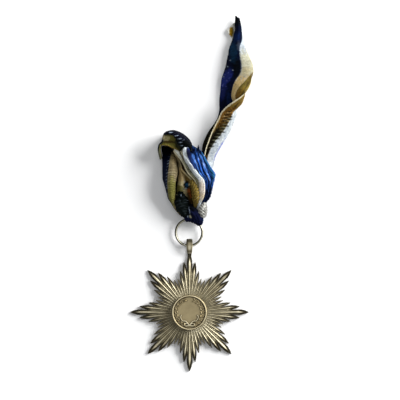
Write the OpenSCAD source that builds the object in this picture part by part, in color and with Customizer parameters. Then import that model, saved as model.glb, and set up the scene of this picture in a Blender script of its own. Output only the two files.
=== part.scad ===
// Worn star of an order, lying on a table with its silk ribbon.
// Millimetres. +Z is up, +Y runs from the star towards the ribbon's free end,
// and the origin is the middle of the surface that the whole object lies on.

/* [Star] */
// Distance from the centre to each of the eight long points
star_r = 25; // [22:0.5:28]
// Height of the centre above the points, on the domed underside
star_dome = 2; // [1:0.1:3]
// Thickness of the plate between the ridges
star_plate = 0.9; // [0.7:0.1:1.2]
// Height of the tallest ridges above the plate
ridge_rise = 0.8; // [0.5:0.1:1]

/* [Medallion] */
// Outside diameter of the medallion
medallion_d = 15; // [13:0.5:17]
// Thickness of the medallion at its rim
medallion_h = 1.5; // [1.2:0.1:2]

/* [Bail and ring] */
// Width of the bail's strap where the ring hangs
bail_w = 2.6; // [2:0.1:3]
// Thickness of the bail's strap
bail_wall = 0.8; // [0.6:0.1:1]
// Outside diameter of the jump ring
ring_d = 12.2; // [11.6:0.1:12.6]
// Diameter of the jump ring's wire
ring_wire = 1; // [0.8:0.1:1.1]

/* [Ribbon] */
// Thickness of the ribbon's wall
ribbon_wall = 1; // [0.8:0.1:1.2]

/* [Hidden] */

// Places of the ring and of the star that hangs in it
piece_gap = 0.1;
ring_at = [-1.1, -16.5];
ring_mid_r = (ring_d - ring_wire) / 2;
bail_eye_offset = 4;
star_to_ring = ring_mid_r + star_r + bail_eye_offset - 0.9;
star_at = [-0.9, ring_at.y - star_to_ring];

// Star: seven rays to each long point, from one valley of the star to the next
star_groups = 8;
group_angle = 360 / star_groups;
// Columns: length as a share of star_r, height of the ridge as a share of ridge_rise
ray_kinds = [[0.6, 0.6], [0.71, 0.7], [0.85, 0.8], [1, 1], [0.85, 0.8], [0.71, 0.7], [0.6, 0.6]];
ray_count = star_groups * len(ray_kinds);
ray_pitch = 360 / ray_count;
first_turn = -group_angle / 2 + ray_pitch / 2;
hub_r = 7.2;
tip_half_w = 0.1;
tip_taper = 3.2;
cheek_share = 0.55;
cheek_narrowing = 0.64;
side_clearance = 0.94;
notch_depth = 0.7;
border = 1.7;
ridge_taper = 3.2;
ridge_share = 0.62;
fine_rise = 0.3;

function kind(i) = ray_kinds[(i + ray_count) % len(ray_kinds)];
function ray_length(i) = kind(i)[0] * star_r;
function half_w(r) = r * tan(ray_pitch / 2);
function notch_r(i) = min(ray_length(i), ray_length(i + 1)) - tip_taper - notch_depth;

// Height of the underside and of the plate's top at a distance r from the star's centre
function under(r) = star_dome * (1 - r / star_r);
function over(r) = under(r) + star_plate;
seat_z = over(hub_r) + 0.45;

// A point of ray i, at r along its middle line, side to its left or right, z above the table
function ray_point(i, r, side, z) =
    let (turn = first_turn + i * ray_pitch)
    [r * cos(turn) - side * sin(turn), r * sin(turn) + side * cos(turn), z];
function border_point(i, r, z) = ray_point(i + 0.5, r, 0, z);

// Outline of ray i from its right notch to its left side: distance and half width
function ray_plan(i) =
    let (shoulder = ray_length(i) - tip_taper, w = half_w(shoulder) * side_clearance)
    [
        [shoulder, -w],
        [shoulder + tip_taper * cheek_share, -w * cheek_narrowing],
        [ray_length(i), -tip_half_w],
        [ray_length(i), tip_half_w],
        [shoulder + tip_taper * cheek_share, w * cheek_narrowing],
        [shoulder, w]
    ];

// Points of ray i, with the border to the next ray: 4 on the border, 8 on the ridge, 12 on the outline
slots = 24;
function ray_points(i) =
    let (
        ridge_end = ray_length(i) - border,
        ridge_r = ridge_end - ridge_taper,
        rise = kind(i)[1] * ridge_rise,
        w = half_w(ridge_r) * ridge_share,
        root_w = half_w(hub_r) * 0.5,
        notch = notch_r(i),
        fine_r = notch - 1.6
    )
    concat(
        [
            border_point(i, hub_r, over(hub_r) + fine_rise * 0.8),
            border_point(i, fine_r, over(fine_r) + fine_rise),
            border_point(i, notch, over(notch)),
            border_point(i, notch, under(notch)),
            ray_point(i, hub_r, -root_w, over(hub_r)),
            ray_point(i, ridge_r, -w, over(ridge_r)),
            ray_point(i, hub_r, 0, over(hub_r) + rise * 0.45),
            ray_point(i, ridge_r, 0, over(ridge_r) + rise),
            ray_point(i, hub_r, root_w, over(hub_r)),
            ray_point(i, ridge_r, w, over(ridge_r)),
            ray_point(i, ridge_end, 0, over(ridge_end)),
            border_point(i, hub_r - 0.1, seat_z)
        ],
        [for (p = ray_plan(i)) ray_point(i, p[0], p[1], over(p[0]))],
        [for (p = ray_plan(i)) ray_point(i, p[0], p[1], under(p[0]))]
    );

// Triangles of ray i, where b is its first point, p the first point of the ray before it,
// and top and low are the middles of the star
function ray_faces(b, p, top, low) = concat(
    half_faces(p, b + 4, b + 5, b + 12, b + 13, b + 14, b),
    [for (t = half_faces(b, b + 8, b + 9, b + 17, b + 16, b + 15, b)) [t[0], t[2], t[1]]],
    [[b + 14, b + 10, b + 15], [p + 11, b + 11, b + 6], [top, b + 11, p + 11]],
    let (
        rim = concat([p + 2], [for (k = [12:17]) b + k], [b + 2]),
        base = concat([p + 3], [for (k = [18:23]) b + k], [b + 3])
    )
    [for (k = [0:6]) for (t = [
        [rim[k], rim[k + 1], base[k + 1]],
        [rim[k], base[k + 1], base[k]],
        [low, base[k], base[k + 1]]
    ]) t]
);

// Top of one side of a ray, between the border that starts at q and the ridge of the ray at b
function half_faces(q, root, foot, side, cheek, tip, b) = [
    [q, root, q + 1],
    [q + 1, root, foot],
    [q + 1, foot, q + 2],
    [q + 2, foot, side],
    [side, foot, cheek],
    [cheek, foot, b + 10],
    [cheek, b + 10, tip],
    [root, b + 6, foot],
    [b + 6, b + 7, foot],
    [foot, b + 7, b + 10],
    [q + 11, root, q],
    [q + 11, b + 6, root]
];

module star_rays() {
    top = ray_count * slots;
    points = concat(
        [for (i = [0:ray_count - 1], p = ray_points(i)) p],
        [[0, 0, seat_z], [0, 0, under(0)]]
    );
    faces = [for (i = [0:ray_count - 1], t = ray_faces(
        i * slots, (i + ray_count - 1) % ray_count * slots, top, top + 1)) t];
    polyhedron(points, faces);
}

// Bail: a strap that loops on edge over the top point, with its eye along X
eye_r = 1.25;
eye_y = star_r + bail_eye_offset;
eye_z = eye_r + bail_wall;
strap_r = eye_r + bail_wall / 2;
bail_bevel = 0.45;
// Columns: y, z and width of the strap, from the underside of the star's point round to its top
strap_path = concat(
    [[star_r - 1.4, bail_wall / 2 + 0.05, bail_w * 0.6], [star_r + 1.2, bail_wall / 2, bail_w * 0.8]],
    [for (turn = [-90:20:90]) [eye_y + strap_r * cos(turn), eye_z + strap_r * sin(turn), bail_w]],
    [
        [eye_y - 1.4, eye_z + strap_r - 0.25, bail_w * 0.98],
        [star_r + 1.4, eye_z + 0.55, bail_w * 0.9],
        [star_r + 0.1, over(star_r) + 0.1, bail_w * 0.78]
    ]
);

module strap_bar(at) {
    translate([0, at[0], at[1]]) rotate([0, 90, 0]) {
        cylinder(d = bail_wall, h = at[2] - bail_bevel * 2, center = true, $fn = 8);
        cylinder(d = bail_wall * 0.4, h = at[2], center = true, $fn = 8);
    }
}

module bail() {
    for (i = [0:len(strap_path) - 2])
        hull() {
            strap_bar(strap_path[i]);
            strap_bar(strap_path[i + 1]);
        }
}

module star() {
    color([0.72, 0.66, 0.52]) translate([star_at.x, star_at.y, 0]) {
        star_rays();
        bail();
    }
}

module point_hull(points) {
    hull() polyhedron(points, [[for (i = [0:len(points) - 1]) i]]);
}

// Medallion: a shallow dish with a round rim, a laurel wreath and a tied ribbon
rim_w = 0.9;
field_h = medallion_h - 0.45;
wreath_r = 5.5;
leaf_pairs = 9;
leaf_l = 1.8;
leaf_w = 0.82;
leaf_h = 0.5;
leaf_fan = 30;
leaf_sink = 0.15;

module medallion_dish() {
    rim_r = medallion_d / 2 - rim_w / 2;
    rotate_extrude($fn = 60) {
        square([medallion_d / 2 - 0.15, field_h * 0.6]);
        square([rim_r, field_h]);
        translate([rim_r, medallion_h - rim_w / 2]) circle(d = rim_w, $fn = 10);
        translate([rim_r - rim_w / 2, field_h * 0.3]) square([rim_w, medallion_h - rim_w / 2 - field_h * 0.3]);
    }
}

module leaf() {
    point_hull([
        [0, 0, -leaf_sink],
        [leaf_l * 0.45, leaf_w / 2, -leaf_sink],
        [leaf_l * 0.45, -leaf_w / 2, -leaf_sink],
        [leaf_l, 0, -leaf_sink],
        [leaf_l * 0.2, 0, leaf_h * 0.6],
        [leaf_l * 0.5, 0, leaf_h],
        [leaf_l * 0.9, 0, leaf_h * 0.4]
    ]);
}

// One branch runs up each side, with an outer and an inner leaf at each step
module wreath_branch(side) {
    for (i = [0:leaf_pairs - 1], out = [-1, 1]) {
        along = 258 - i * 17.5 - out * 2;
        rotate(side > 0 ? along : 180 - along)
            translate([wreath_r + out * 0.12, 0, field_h])
                rotate(-side * 90 - out * leaf_fan) leaf();
    }
}

// A tied band under the wreath: two loops and two ends, as beads joined along short curves
tie_curves = [
    [[0, -5.4], [-1.1, -4.5], [-2.1, -4.9], [-1.6, -5.7], [0, -5.4]],
    [[0, -5.4], [1.1, -4.5], [2.1, -4.9], [1.6, -5.7], [0, -5.4]],
    [[0, -5.4], [-1.5, -3.7], [-2.9, -3.5], [-3.7, -2.2], [-3.4, -1.1]],
    [[0, -5.4], [1.5, -3.7], [2.9, -3.5], [3.7, -2.2], [3.4, -1.1]]
];
tie_steps = 3;

module tie_bead(at) {
    translate([at.x, at.y, field_h - 0.1]) cylinder(r1 = 0.28, r2 = 0.14, h = 0.42, $fn = 8);
}

module wreath_tie() {
    for (curve = tie_curves, i = [0:(len(curve) - 1) * tie_steps - 1])
        hull() {
            tie_bead(smooth(curve, i / tie_steps));
            tie_bead(smooth(curve, (i + 1) / tie_steps));
        }
}

module medallion() {
    color([0.70, 0.60, 0.42]) translate([star_at.x, star_at.y, seat_z + piece_gap]) {
        medallion_dish();
        for (side = [-1, 1]) wreath_branch(side);
        wreath_tie();
    }
}

// Jump ring: it lies nearly flat, low in the bail's eye and higher in the knot
ring_low_z = bail_wall + ring_wire / 2 + piece_gap;
ring_tilt = 5;
ring_z = ring_low_z + ring_mid_r * sin(ring_tilt);
cut_w = 0.22;
cut_angle = 249;
// Space left in the ribbon round the wire
wire_clearance = 0.15;

module ring_torus(wire, facets) {
    translate([ring_at.x, ring_at.y, ring_z]) rotate([ring_tilt, 0, 0])
        rotate_extrude($fn = 72) translate([ring_mid_r, 0]) circle(d = wire, $fn = facets);
}

module ring() {
    color([0.78, 0.76, 0.68]) difference() {
        ring_torus(ring_wire, 24);
        translate([ring_at.x, ring_at.y, ring_z]) rotate([ring_tilt, 0, cut_angle])
            translate([ring_mid_r, 0, 0]) cube([3, cut_w, 3], center = true);
    }
}

// Smooth curve through the rows of a table. A row is a number, a point or a list of points.
function smooth(rows, t) =
    let (
        last = len(rows) - 1,
        i = min(last - 1, floor(t)),
        f = t - i,
        a = rows[max(i - 1, 0)],
        b = rows[i],
        c = rows[i + 1],
        d = rows[min(i + 2, last)]
    )
    b + 0.5 * f * ((c - a) + f * ((2 * a - 5 * b + 4 * c - d) + f * (3 * (b - c) + d - a)));

// A finer grid of points through a coarse one
function refine(grid, along, across) =
    [for (i = [0:(len(grid) - 1) * along])
        let (row = smooth(grid, i / along))
        [for (j = [0:(len(row) - 1) * across]) smooth(row, j / across)]];

function unit(v) = v / norm(v);

// Direction square to a grid of points at row i, column j
function square_to(grid, i, j) =
    let (
        rows = len(grid) - 1,
        columns = len(grid[0]) - 1,
        across = grid[i][min(j + 1, columns)] - grid[i][max(j - 1, 0)],
        along = grid[min(i + 1, rows)][j] - grid[max(i - 1, 0)][j]
    )
    unit(cross(along, across));

// A wall of cloth on both sides of a grid of points: one block for each cell of the grid
module cloth(grid, wall) {
    sides = [for (i = [0:len(grid) - 1])
        [for (j = [0:len(grid[0]) - 1])
            let (half = square_to(grid, i, j) * wall / 2)
            [grid[i][j] + half, grid[i][j] - half]]];
    for (i = [0:len(grid) - 2], j = [0:len(grid[0]) - 2])
        point_hull(concat(sides[i][j], sides[i][j + 1], sides[i + 1][j], sides[i + 1][j + 1]));
}

// Free tail, from its cut end to the knot. Each row is a section of the band.
// Columns: y, then x and z of the blue selvedge, the middle of the blue stripe, the seam from
// blue to white, the seam from white to gold, the middle of the gold stripe and the gold
// selvedge, then how far the slanting cut sets the gold selvedge back.
tail_rows = [
    [75.2, [18.4, 1.9], [19.3, 2.8], [20.2, 2.1], [19.8, 1.0], [18.6, 0.7], [17.3, 0.9], 3.4],
    [71.8, [18.3, 2.0], [19.5, 3.2], [20.8, 2.3], [20.2, 1.0], [18.2, 0.7], [16.0, 1.1], 1.6],
    [68.9, [18.2, 2.1], [19.7, 3.5], [21.1, 2.6], [20.3, 1.1], [17.8, 0.7], [15.2, 1.2], 0.5],
    [65.0, [17.3, 2.2], [19.3, 3.8], [21.2, 3.4], [21.8, 2.2], [19.6, 0.8], [17.5, 0.8], 0],
    [61.2, [16.1, 2.1], [18.3, 4.1], [20.2, 4.6], [22.8, 3.7], [21.8, 1.8], [19.6, 0.8], 0],
    [57.4, [15.1, 1.9], [17.7, 4.3], [20.6, 5.0], [24.2, 3.9], [23.6, 2.2], [21.0, 0.9], 0],
    [54.0, [14.5, 1.7], [17.3, 4.3], [21.1, 5.2], [25.4, 4.3], [24.9, 2.6], [22.6, 1.0], 0],
    [50.6, [13.4, 1.5], [16.6, 4.1], [20.6, 4.8], [24.9, 5.2], [25.7, 3.9], [24.6, 1.8], 0],
    [47.2, [12.6, 1.3], [15.7, 3.7], [18.4, 4.0], [22.4, 6.4], [24.2, 6.0], [25.0, 4.0], 0],
    [43.9, [12.1, 1.2], [14.8, 3.3], [17.3, 3.3], [19.6, 6.4], [22.2, 7.4], [23.8, 6.0], 0],
    [40.5, [11.9, 1.1], [14.6, 3.0], [17.0, 2.6], [18.4, 5.4], [22.0, 7.0], [20.6, 8.6], 0],
    [37.5, [11.8, 1.0], [15.0, 2.3], [18.6, 2.2], [20.3, 4.2], [20.4, 7.0], [15.9, 7.6], 0],
    [34.5, [11.6, 1.0], [15.2, 1.9], [19.2, 2.4], [17.5, 5.4], [15.6, 5.6], [12.7, 6.4], 0],
    [31.1, [10.5, 1.0], [14.6, 1.5], [18.0, 2.3], [16.1, 4.6], [13.4, 4.0], [11.0, 5.0], 0],
    [26.1, [7.1, 1.2], [11.6, 1.2], [16.0, 1.9], [13.1, 3.8], [10.4, 2.8], [8.4, 4.0], 0],
    [21.0, [4.8, 1.3], [8.8, 1.1], [12.9, 1.7], [9.1, 3.3], [7.9, 2.5], [6.5, 3.5], 0],
    [15.9, [4.1, 1.3], [7.2, 1.1], [10.3, 1.5], [6.9, 2.8], [6.2, 2.3], [5.2, 3.2], 0],
    [10.8, [3.6, 1.3], [6.0, 1.1], [8.9, 1.4], [6.4, 2.5], [5.4, 2.2], [4.5, 2.9], 0],
    [2.3, [3.4, 1.4], [5.0, 1.1], [6.8, 1.6], [5.6, 2.6], [4.7, 2.2], [3.9, 2.6], 0],
    [-5.3, [1.6, 1.6], [2.6, 1.3], [4.2, 1.8], [3.4, 2.6], [2.6, 2.3], [1.8, 2.6], 0]
];
function tail_grid() =
    [for (row = tail_rows)
        [for (j = [1:6]) [row[j].x, row[0] - row[7] * (j - 1) / 5, row[j].y]]];

module ribbon_tail() {
    cloth(refine(tail_grid(), 2, 2), ribbon_wall);
}

// Crumpled loop, from under the hood to the knot. Each row is a section at one y.
// Columns: y, then x of the right foot, the right and left edges of the white strip, the inner
// edge of the cream fold, the right and left sides of the hollow, the left ridge, the outer edge
// of the gold strip and the left foot, then the swell of the right and of the left half.
loop_rows = [
    [24.0, -0.2, -1.4, -2.6, -4.2, -5.2, -6.4, -8.0, -9.6, -11.2, 0.12, 0.06],
    [21.6, 1.6, -1.0, -2.9, -5.8, -6.6, -7.4, -8.6, -9.9, -12.0, 0.5, 0.1],
    [18.4, 4.9, -0.7, -3.2, -7.2, -7.8, -8.4, -9.0, -10.0, -12.2, 0.86, 0.35],
    [15.0, 6.1, 0.8, -2.2, -5.2, -5.7, -6.2, -8.0, -9.4, -12.2, 0.96, 0.72],
    [11.7, 7.8, 2.8, -0.4, -2.7, -3.9, -5.2, -7.6, -9.3, -12.1, 1.0, 0.92],
    [8.3, 9.4, 4.4, 1.5, -0.1, -1.7, -4.8, -7.5, -9.4, -12.1, 1.0, 0.95],
    [4.9, 9.3, 5.3, 2.9, 2.1, 0.3, -4.7, -7.8, -9.8, -11.9, 0.95, 0.9],
    [1.5, 8.6, 5.4, 3.4, 2.9, 1.0, -4.7, -7.9, -10.0, -11.5, 0.86, 0.8],
    [-1.9, 7.3, 4.4, 2.8, 2.3, 0.8, -4.2, -7.6, -9.6, -10.4, 0.7, 0.66],
    [-5.3, 5.0, 3.1, 1.6, 1.1, 0.2, -3.2, -6.0, -7.4, -8.0, 0.55, 0.5],
    [-8.2, 3.9, 2.4, 1.2, 0.8, 0.0, -1.5, -3.0, -4.0, -4.8, 0.42, 0.38]
];
foot_z = 0.6;
// Heights at full swell, from the right foot over the blue pleats and the white strip to the left foot
loop_lift = [foot_z, 4.4, 4.0, 6.6, 6.0, 8.6, 9.6, 9.0, 5.2, 4.6, 8.0, 6.8, 4.6, foot_z];
pleat_shares = [0.2, 0.42, 0.6, 0.82];
// The columns up to the cream fold swell with the right half
right_columns = 8;
function loop_x(row) = concat(
    [row[1]],
    [for (share = pleat_shares) row[1] + (row[2] - row[1]) * share],
    [for (j = [2:8]) row[j]],
    [row[8] + (row[9] - row[8]) * 0.7, row[9]]
);
function loop_grid() =
    [for (row = loop_rows)
        let (xs = loop_x(row))
        [for (j = [0:len(xs) - 1])
            [xs[j], row[0], foot_z + (loop_lift[j] - foot_z) * row[j < right_columns ? 10 : 11]]]];

module ribbon_loop() {
    cloth(refine(loop_grid(), 2, 2), ribbon_wall);
}

// Hood: the band turned over the top of the loop, round to the rim of the hollow mouth.
// Columns: x and y of the outline, then inset and height of the crest and of the lip.
hood_rows = [
    [1.4, 16.4, 1.2, 9.0, 2.4, 8.9],
    [0.6, 19.7, 1.6, 10.2, 3.2, 9.7],
    [-1.1, 22.5, 2.0, 11.0, 4.6, 9.9],
    [-4.1, 25.0, 2.2, 11.4, 5.8, 9.8],
    [-7.5, 26.2, 2.3, 11.2, 6.2, 9.2],
    [-10.4, 25.2, 2.2, 10.6, 4.6, 8.6],
    [-12.4, 22.5, 1.6, 9.8, 2.8, 8.4],
    [-13.5, 19.3, 1.2, 8.4, 2.2, 7.2],
    [-13.1, 16.0, 0.9, 6.4, 1.8, 5.4],
    [-12.5, 12.6, 0.6, 3.8, 1.2, 3.2]
];
hood_foot_inset = 0.9;
function inward(i) =
    let (
        a = hood_rows[max(i - 1, 0)],
        b = hood_rows[min(i + 1, len(hood_rows) - 1)],
        along = unit([b[0] - a[0], b[1] - a[1]])
    )
    [-along.y, along.x];
function hood_point(i, inset, z) =
    let (at = hood_rows[i], in = inward(i))
    [at[0] + in.x * inset, at[1] + in.y * inset, z];
function hood_grid() =
    [for (i = [0:len(hood_rows) - 1])
        let (row = hood_rows[i])
        [
            hood_point(i, hood_foot_inset, foot_z),
            hood_point(i, 0, row[3] * 0.45),
            hood_point(i, row[2] * 0.35, row[3] * 0.82),
            hood_point(i, row[2], row[3]),
            hood_point(i, row[4], row[5])
        ]];

module ribbon_hood() {
    cloth(refine(hood_grid(), 2, 2), ribbon_wall);
}

// Gathers that are pulled together near the ring, as round lumps: x, y, z and radius
bulge = [[-4.2, -1.2, 3.9, 2.4], [-4.0, -4.8, 3.6, 2.8], [-2.6, -8.0, 3.2, 2.1]];
pale_gather = [[4.4, -4.6, 3.6, 1.6], [4.6, -7.0, 4.0, 2.0], [4.6, -9.2, 3.2, 1.5]];
gold_twist = [[0.7, 3.8, 6.4, 1.0], [1.7, 1.6, 6.7, 1.3], [1.8, -1.0, 6.0, 1.4], [1.6, -3.3, 5.3, 1.5],
    [0.7, -5.6, 4.4, 1.4]];
knot_heart = [[-1.2, -7.0, 3.2, 1.9], [0.9, -7.8, 3.7, 2.2], [2.9, -9.6, 3.5, 2.3]];

module lump(at) {
    translate([at[0], at[1], at[2]]) sphere(r = at[3], $fn = 10);
}

module lumps(list) {
    for (i = [0:len(list) - 2])
        hull() {
            lump(list[i]);
            lump(list[i + 1]);
        }
}

// Turns of the band round the ring's wire. Columns: angle on the ring, distance from the ring's
// middle, height above the wire and radius.
wrap_rows = [[108, 6.1, 0.2, 1.2], [92, 6.3, 0.3, 1.6], [72, 6.5, 0.5, 1.9], [52, 6.6, 0.4, 1.8]];
function on_ring(angle, r, lift) = [
    ring_at.x + r * cos(angle),
    ring_at.y + r * sin(angle),
    ring_z + r * sin(angle) * tan(ring_tilt) + lift
];
function wrap_lump(row) = concat(on_ring(row[0], row[1], row[2]), [row[3]]);

module knot_wraps() {
    lumps([for (row = wrap_rows) wrap_lump(row)]);
    for (i = [0, len(wrap_rows) - 1])
        lumps([wrap_lump(wrap_rows[i]), i == 0 ? knot_heart[0] : knot_heart[2]]);
}

// Frayed threads at the band's cut end: foot and tip of each tuft
tufts = [
    [[1.3, 15.6, 7.6], [1.2, 19.0, 8.0]],
    [[3.0, 15.4, 6.4], [2.9, 20.2, 7.0]],
    [[4.0, 15.2, 5.4], [3.9, 17.7, 5.8]]
];

module fray() {
    for (tuft = tufts)
        hull() {
            translate(tuft[0]) sphere(r = 0.7, $fn = 8);
            translate(tuft[1]) sphere(r = 0.2, $fn = 6);
        }
}

module ribbon() {
    color([0.13, 0.22, 0.45]) difference() {
        union() {
            ribbon_tail();
            ribbon_loop();
            ribbon_hood();
            lumps(bulge);
            lumps(pale_gather);
            lumps(gold_twist);
            lumps(knot_heart);
            knot_wraps();
            fray();
        }
        ring_torus(ring_wire + 2 * wire_clearance, 12);
    }
}

star();
medallion();
ring();
ribbon();
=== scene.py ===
"""Looks of a worn star of an order that lies on a table with its crumpled silk ribbon.

The star and the medallion keep their solids and get antiqued metal finishes. A smooth wire ring
takes the place of the solid ring, and fine sheets of striped silk take the place of the solid
ribbon, shaped from tables that follow its forms.

The tables, the sheets and their weave are in millimetres. Objects, grounds, lights and the camera
are in metres.
"""

import logging
import math
from dataclasses import dataclass, field, replace
from enum import Enum

import bmesh
import bpy
import numpy as np
from mathutils import Matrix, Vector

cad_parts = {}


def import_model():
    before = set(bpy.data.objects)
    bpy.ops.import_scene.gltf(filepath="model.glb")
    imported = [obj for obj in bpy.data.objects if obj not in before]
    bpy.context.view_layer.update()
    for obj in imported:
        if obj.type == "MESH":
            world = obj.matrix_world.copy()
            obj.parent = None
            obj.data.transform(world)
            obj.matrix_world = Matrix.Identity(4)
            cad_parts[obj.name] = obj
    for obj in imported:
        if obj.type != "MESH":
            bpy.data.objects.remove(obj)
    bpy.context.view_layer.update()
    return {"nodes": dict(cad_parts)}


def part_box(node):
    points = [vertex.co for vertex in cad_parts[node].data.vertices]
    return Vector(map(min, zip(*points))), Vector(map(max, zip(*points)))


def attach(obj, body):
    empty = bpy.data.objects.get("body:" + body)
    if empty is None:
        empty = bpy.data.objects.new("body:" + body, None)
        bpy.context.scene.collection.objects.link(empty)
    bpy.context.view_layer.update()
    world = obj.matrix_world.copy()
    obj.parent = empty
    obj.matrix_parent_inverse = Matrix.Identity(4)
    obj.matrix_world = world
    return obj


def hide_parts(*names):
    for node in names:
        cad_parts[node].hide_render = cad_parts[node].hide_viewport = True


LOG = logging.getLogger("insignia")
MM = 0.001
ROOT = "root"
Array = np.ndarray
Socket = bpy.types.NodeSocket


def linear(code: str) -> tuple[float, float, float]:
    """Turns a written colour into linear light.

    Args:
        code: six hexadecimal digits of red, green and blue.

    Returns:
        Red, green and blue from 0 to 1.
    """
    parts = [int(code[k : k + 2], 16) / 255 for k in (0, 2, 4)]
    return tuple(p / 12.92 if p <= 0.04045 else ((p + 0.055) / 1.055) ** 2.4 for p in parts)


def placed(name: str, data: bpy.types.ID) -> bpy.types.Object:
    """Makes an object of a mesh, a light or a camera, and links it to the scene."""
    piece = bpy.data.objects.new(name, data)
    bpy.context.scene.collection.objects.link(piece)
    return piece


def meshed(name: str, mesh: bmesh.types.BMesh) -> bpy.types.Mesh:
    """Makes mesh data of a finished bmesh, and frees it."""
    data = bpy.data.meshes.new(name)
    mesh.to_mesh(data)
    mesh.free()
    return data


def eased(share: Array) -> Array:
    """Softens both ends of shares that run from 0 to 1."""
    return share * share * (3 - 2 * share)


class SilkColour(Enum):
    """Colours of the silk, as woven and as worn, and colours laid on it as painted shade and painted
    highlights: near-black in hollows, creases and the trough, a shaded brown on the gold, and some of the
    palest as highlights.
    """

    PITCH = linear("07090a")
    BOTTLE = linear("0b100f")
    CROW = linear("060814")
    NAVY = linear("070d22")
    INK = linear("10142e")
    DEEP = linear("152b5c")
    BLUE = linear("22478a")
    SKY = linear("3a5f9c")
    TEAL = linear("1d4664")
    VIOLET = linear("5c64a8")
    IRIS = linear("212c70")
    WHITE = linear("b2b8ba")
    SNOW = linear("dfe6ea")
    PEARL = linear("cfc7aa")
    LINEN = linear("aaa9a3")
    STEEL = linear("8592a2")
    IVORY = linear("a3a088")
    CREAM = linear("aea27c")
    TAN = linear("ac9668")
    SAND = linear("cfb47c")
    SHELL = linear("c2b6a6")
    SAGE = linear("7b7b63")
    BEIGE = linear("84775a")
    GOLD = linear("6f5a2c")
    OCHRE = linear("8a6c1c")
    AMBER = linear("77501f")
    STRAW = linear("6c5c2c")
    # Painted shade: near-black, for hollows, creases and the shaded flanks of folds
    SHADE_BLACK = linear("1a1a0d")
    OLIVE = linear("5c5828")
    MOSS = linear("67652f")
    UMBER = linear("30220e")
    # Painted shade: the gold where it lies in shade, orange-brown
    SHADED_GOLD = linear("84441a")


class Wander:
    """Smooth noise over a plane that is the same at each run.

    Where one noise is used for two things, a number added to the places keeps them apart.
    """

    SIZE = 64

    def __init__(self, seed: int) -> None:
        """Draws the lattice of heights for a seed."""
        self.lattice = np.random.default_rng(seed).uniform(-1.0, 1.0, (self.SIZE, self.SIZE))

    def at(self, x: Array, y: Array) -> Array:
        """Reads the noise, whose bumps are about one unit wide.

        Args:
            x: first coordinates.
            y: second coordinates.

        Returns:
            Heights from -1 to 1.
        """
        i, j = np.floor(x).astype(int), np.floor(y).astype(int)
        fx, fy = eased(x - i), eased(y - j)
        i0, j0, i1, j1 = i % self.SIZE, j % self.SIZE, (i + 1) % self.SIZE, (j + 1) % self.SIZE
        low = self.lattice[i0, j0] * (1 - fx) + self.lattice[i1, j0] * fx
        high = self.lattice[i0, j1] * (1 - fx) + self.lattice[i1, j1] * fx
        return low * (1 - fy) + high * fy

    def ridges(self, x: Array, y: Array) -> Array:
        """Reads the noise as sharp creases, from 0 between them to 1 on them."""
        return (1 - np.abs(self.at(x, y))) ** 3


def spline_weights(knots: int, samples: Array) -> Array:
    """Gives the weights of the knots of a smooth curve at some places along it.

    Args:
        knots: number of knots.
        samples: places, from 0 at the first knot to knots - 1 at the last.

    Returns:
        One row of weights for each place.
    """
    i = np.minimum(np.floor(samples).astype(int), knots - 2)
    f = samples - i
    rows = np.arange(len(samples))
    weights = np.zeros((len(samples), knots))
    for knot, share in (
        (np.maximum(i - 1, 0), -0.5 * f + f**2 - 0.5 * f**3),
        (i, 1 - 2.5 * f**2 + 1.5 * f**3),
        (i + 1, 0.5 * f + 2 * f**2 - 1.5 * f**3),
        (np.minimum(i + 2, knots - 1), -0.5 * f**2 + 0.5 * f**3),
    ):
        np.add.at(weights, (rows, knot), share)
    return weights


def straight_weights(knots: int, samples: Array) -> Array:
    """Gives the weights of the knots of straight pieces between them, as spline_weights does."""
    return np.maximum(1 - np.abs(samples[:, None] - np.arange(knots)[None, :]), 0)


def window(x: Array, low: float, high: float, soft: float) -> Array:
    """Gives 1 between two values and 0 outside them, with soft ends.

    Args:
        x: values.
        low: where the window opens.
        high: where it closes.
        soft: length over which it opens and closes.

    Returns:
        Shares from 0 to 1.
    """
    rise = np.clip((x - low) / soft + 0.5, 0, 1)
    fall = np.clip((high - x) / soft + 0.5, 0, 1)
    return eased(rise) * eased(fall)


@dataclass(frozen=True)
class Cloth:
    """The points of a sheet, with their columns of the sections and their places on the weave."""

    s: Array
    across: Array
    along: Array
    points: Array


def overlaid(colours: Array, dye: SilkColour, share: Array) -> Array:
    """Lays a share of a colour over the colours of a sheet."""
    share = share[..., None]
    return colours * (1 - share) + np.array(dye.value) * share


@dataclass(frozen=True)
class Stripe:
    """A stripe of one colour on a sheet, up to a column of its sections; on the loop a few stripes are
    painted shade.
    """

    until: float
    dye: SilkColour
    soft: float = 0.06


@dataclass(frozen=True)
class Spot:
    """A ragged patch of another colour, placed and sized in millimetres as seen from above; many patches are
    painted shade or painted highlights.
    """

    x: float
    y: float
    half_width: float
    half_length: float
    dye: SilkColour
    strength: float = 1.0
    soft: float = 0.5
    lean: float = 0.0
    columns: tuple[float, float] = (-1.0, 99.0)

    # How ragged a patch is, how wide its rags are, and how softly it ends at its columns
    RAGGED = 0.25
    RAG_SIZE = 0.7
    COLUMN_SOFT = 0.08

    def share(self, noise: Wander, points: Array, edge: Array) -> Array:
        """Gives how much of the patch each point of a sheet has.

        Args:
            noise: the noise that makes the patch ragged.
            points: the sheet's points, in millimetres.
            edge: column of the sections at each point, with the wobble of the seams.

        Returns:
            Shares from 0 to 1.
        """
        x, y = points[..., 0] - self.x, points[..., 1] - self.y
        reach = np.hypot((x - self.lean * y) / self.half_width, y / self.half_length)
        rags = noise.at(points[..., 0] / self.RAG_SIZE, points[..., 1] / self.RAG_SIZE + self.x)
        reach = reach + self.RAGGED * rags
        share = eased(np.clip((1 - reach) / self.soft + 0.5, 0, 1)) * self.strength
        return share * window(edge, *self.columns, self.COLUMN_SOFT)


def spots(columns: tuple[float, float], *rows: tuple) -> list[Spot]:
    """Makes spots that stay on some columns of a sheet, from rows of their other fields."""
    return [Spot(*row, columns=columns) for row in rows]


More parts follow.
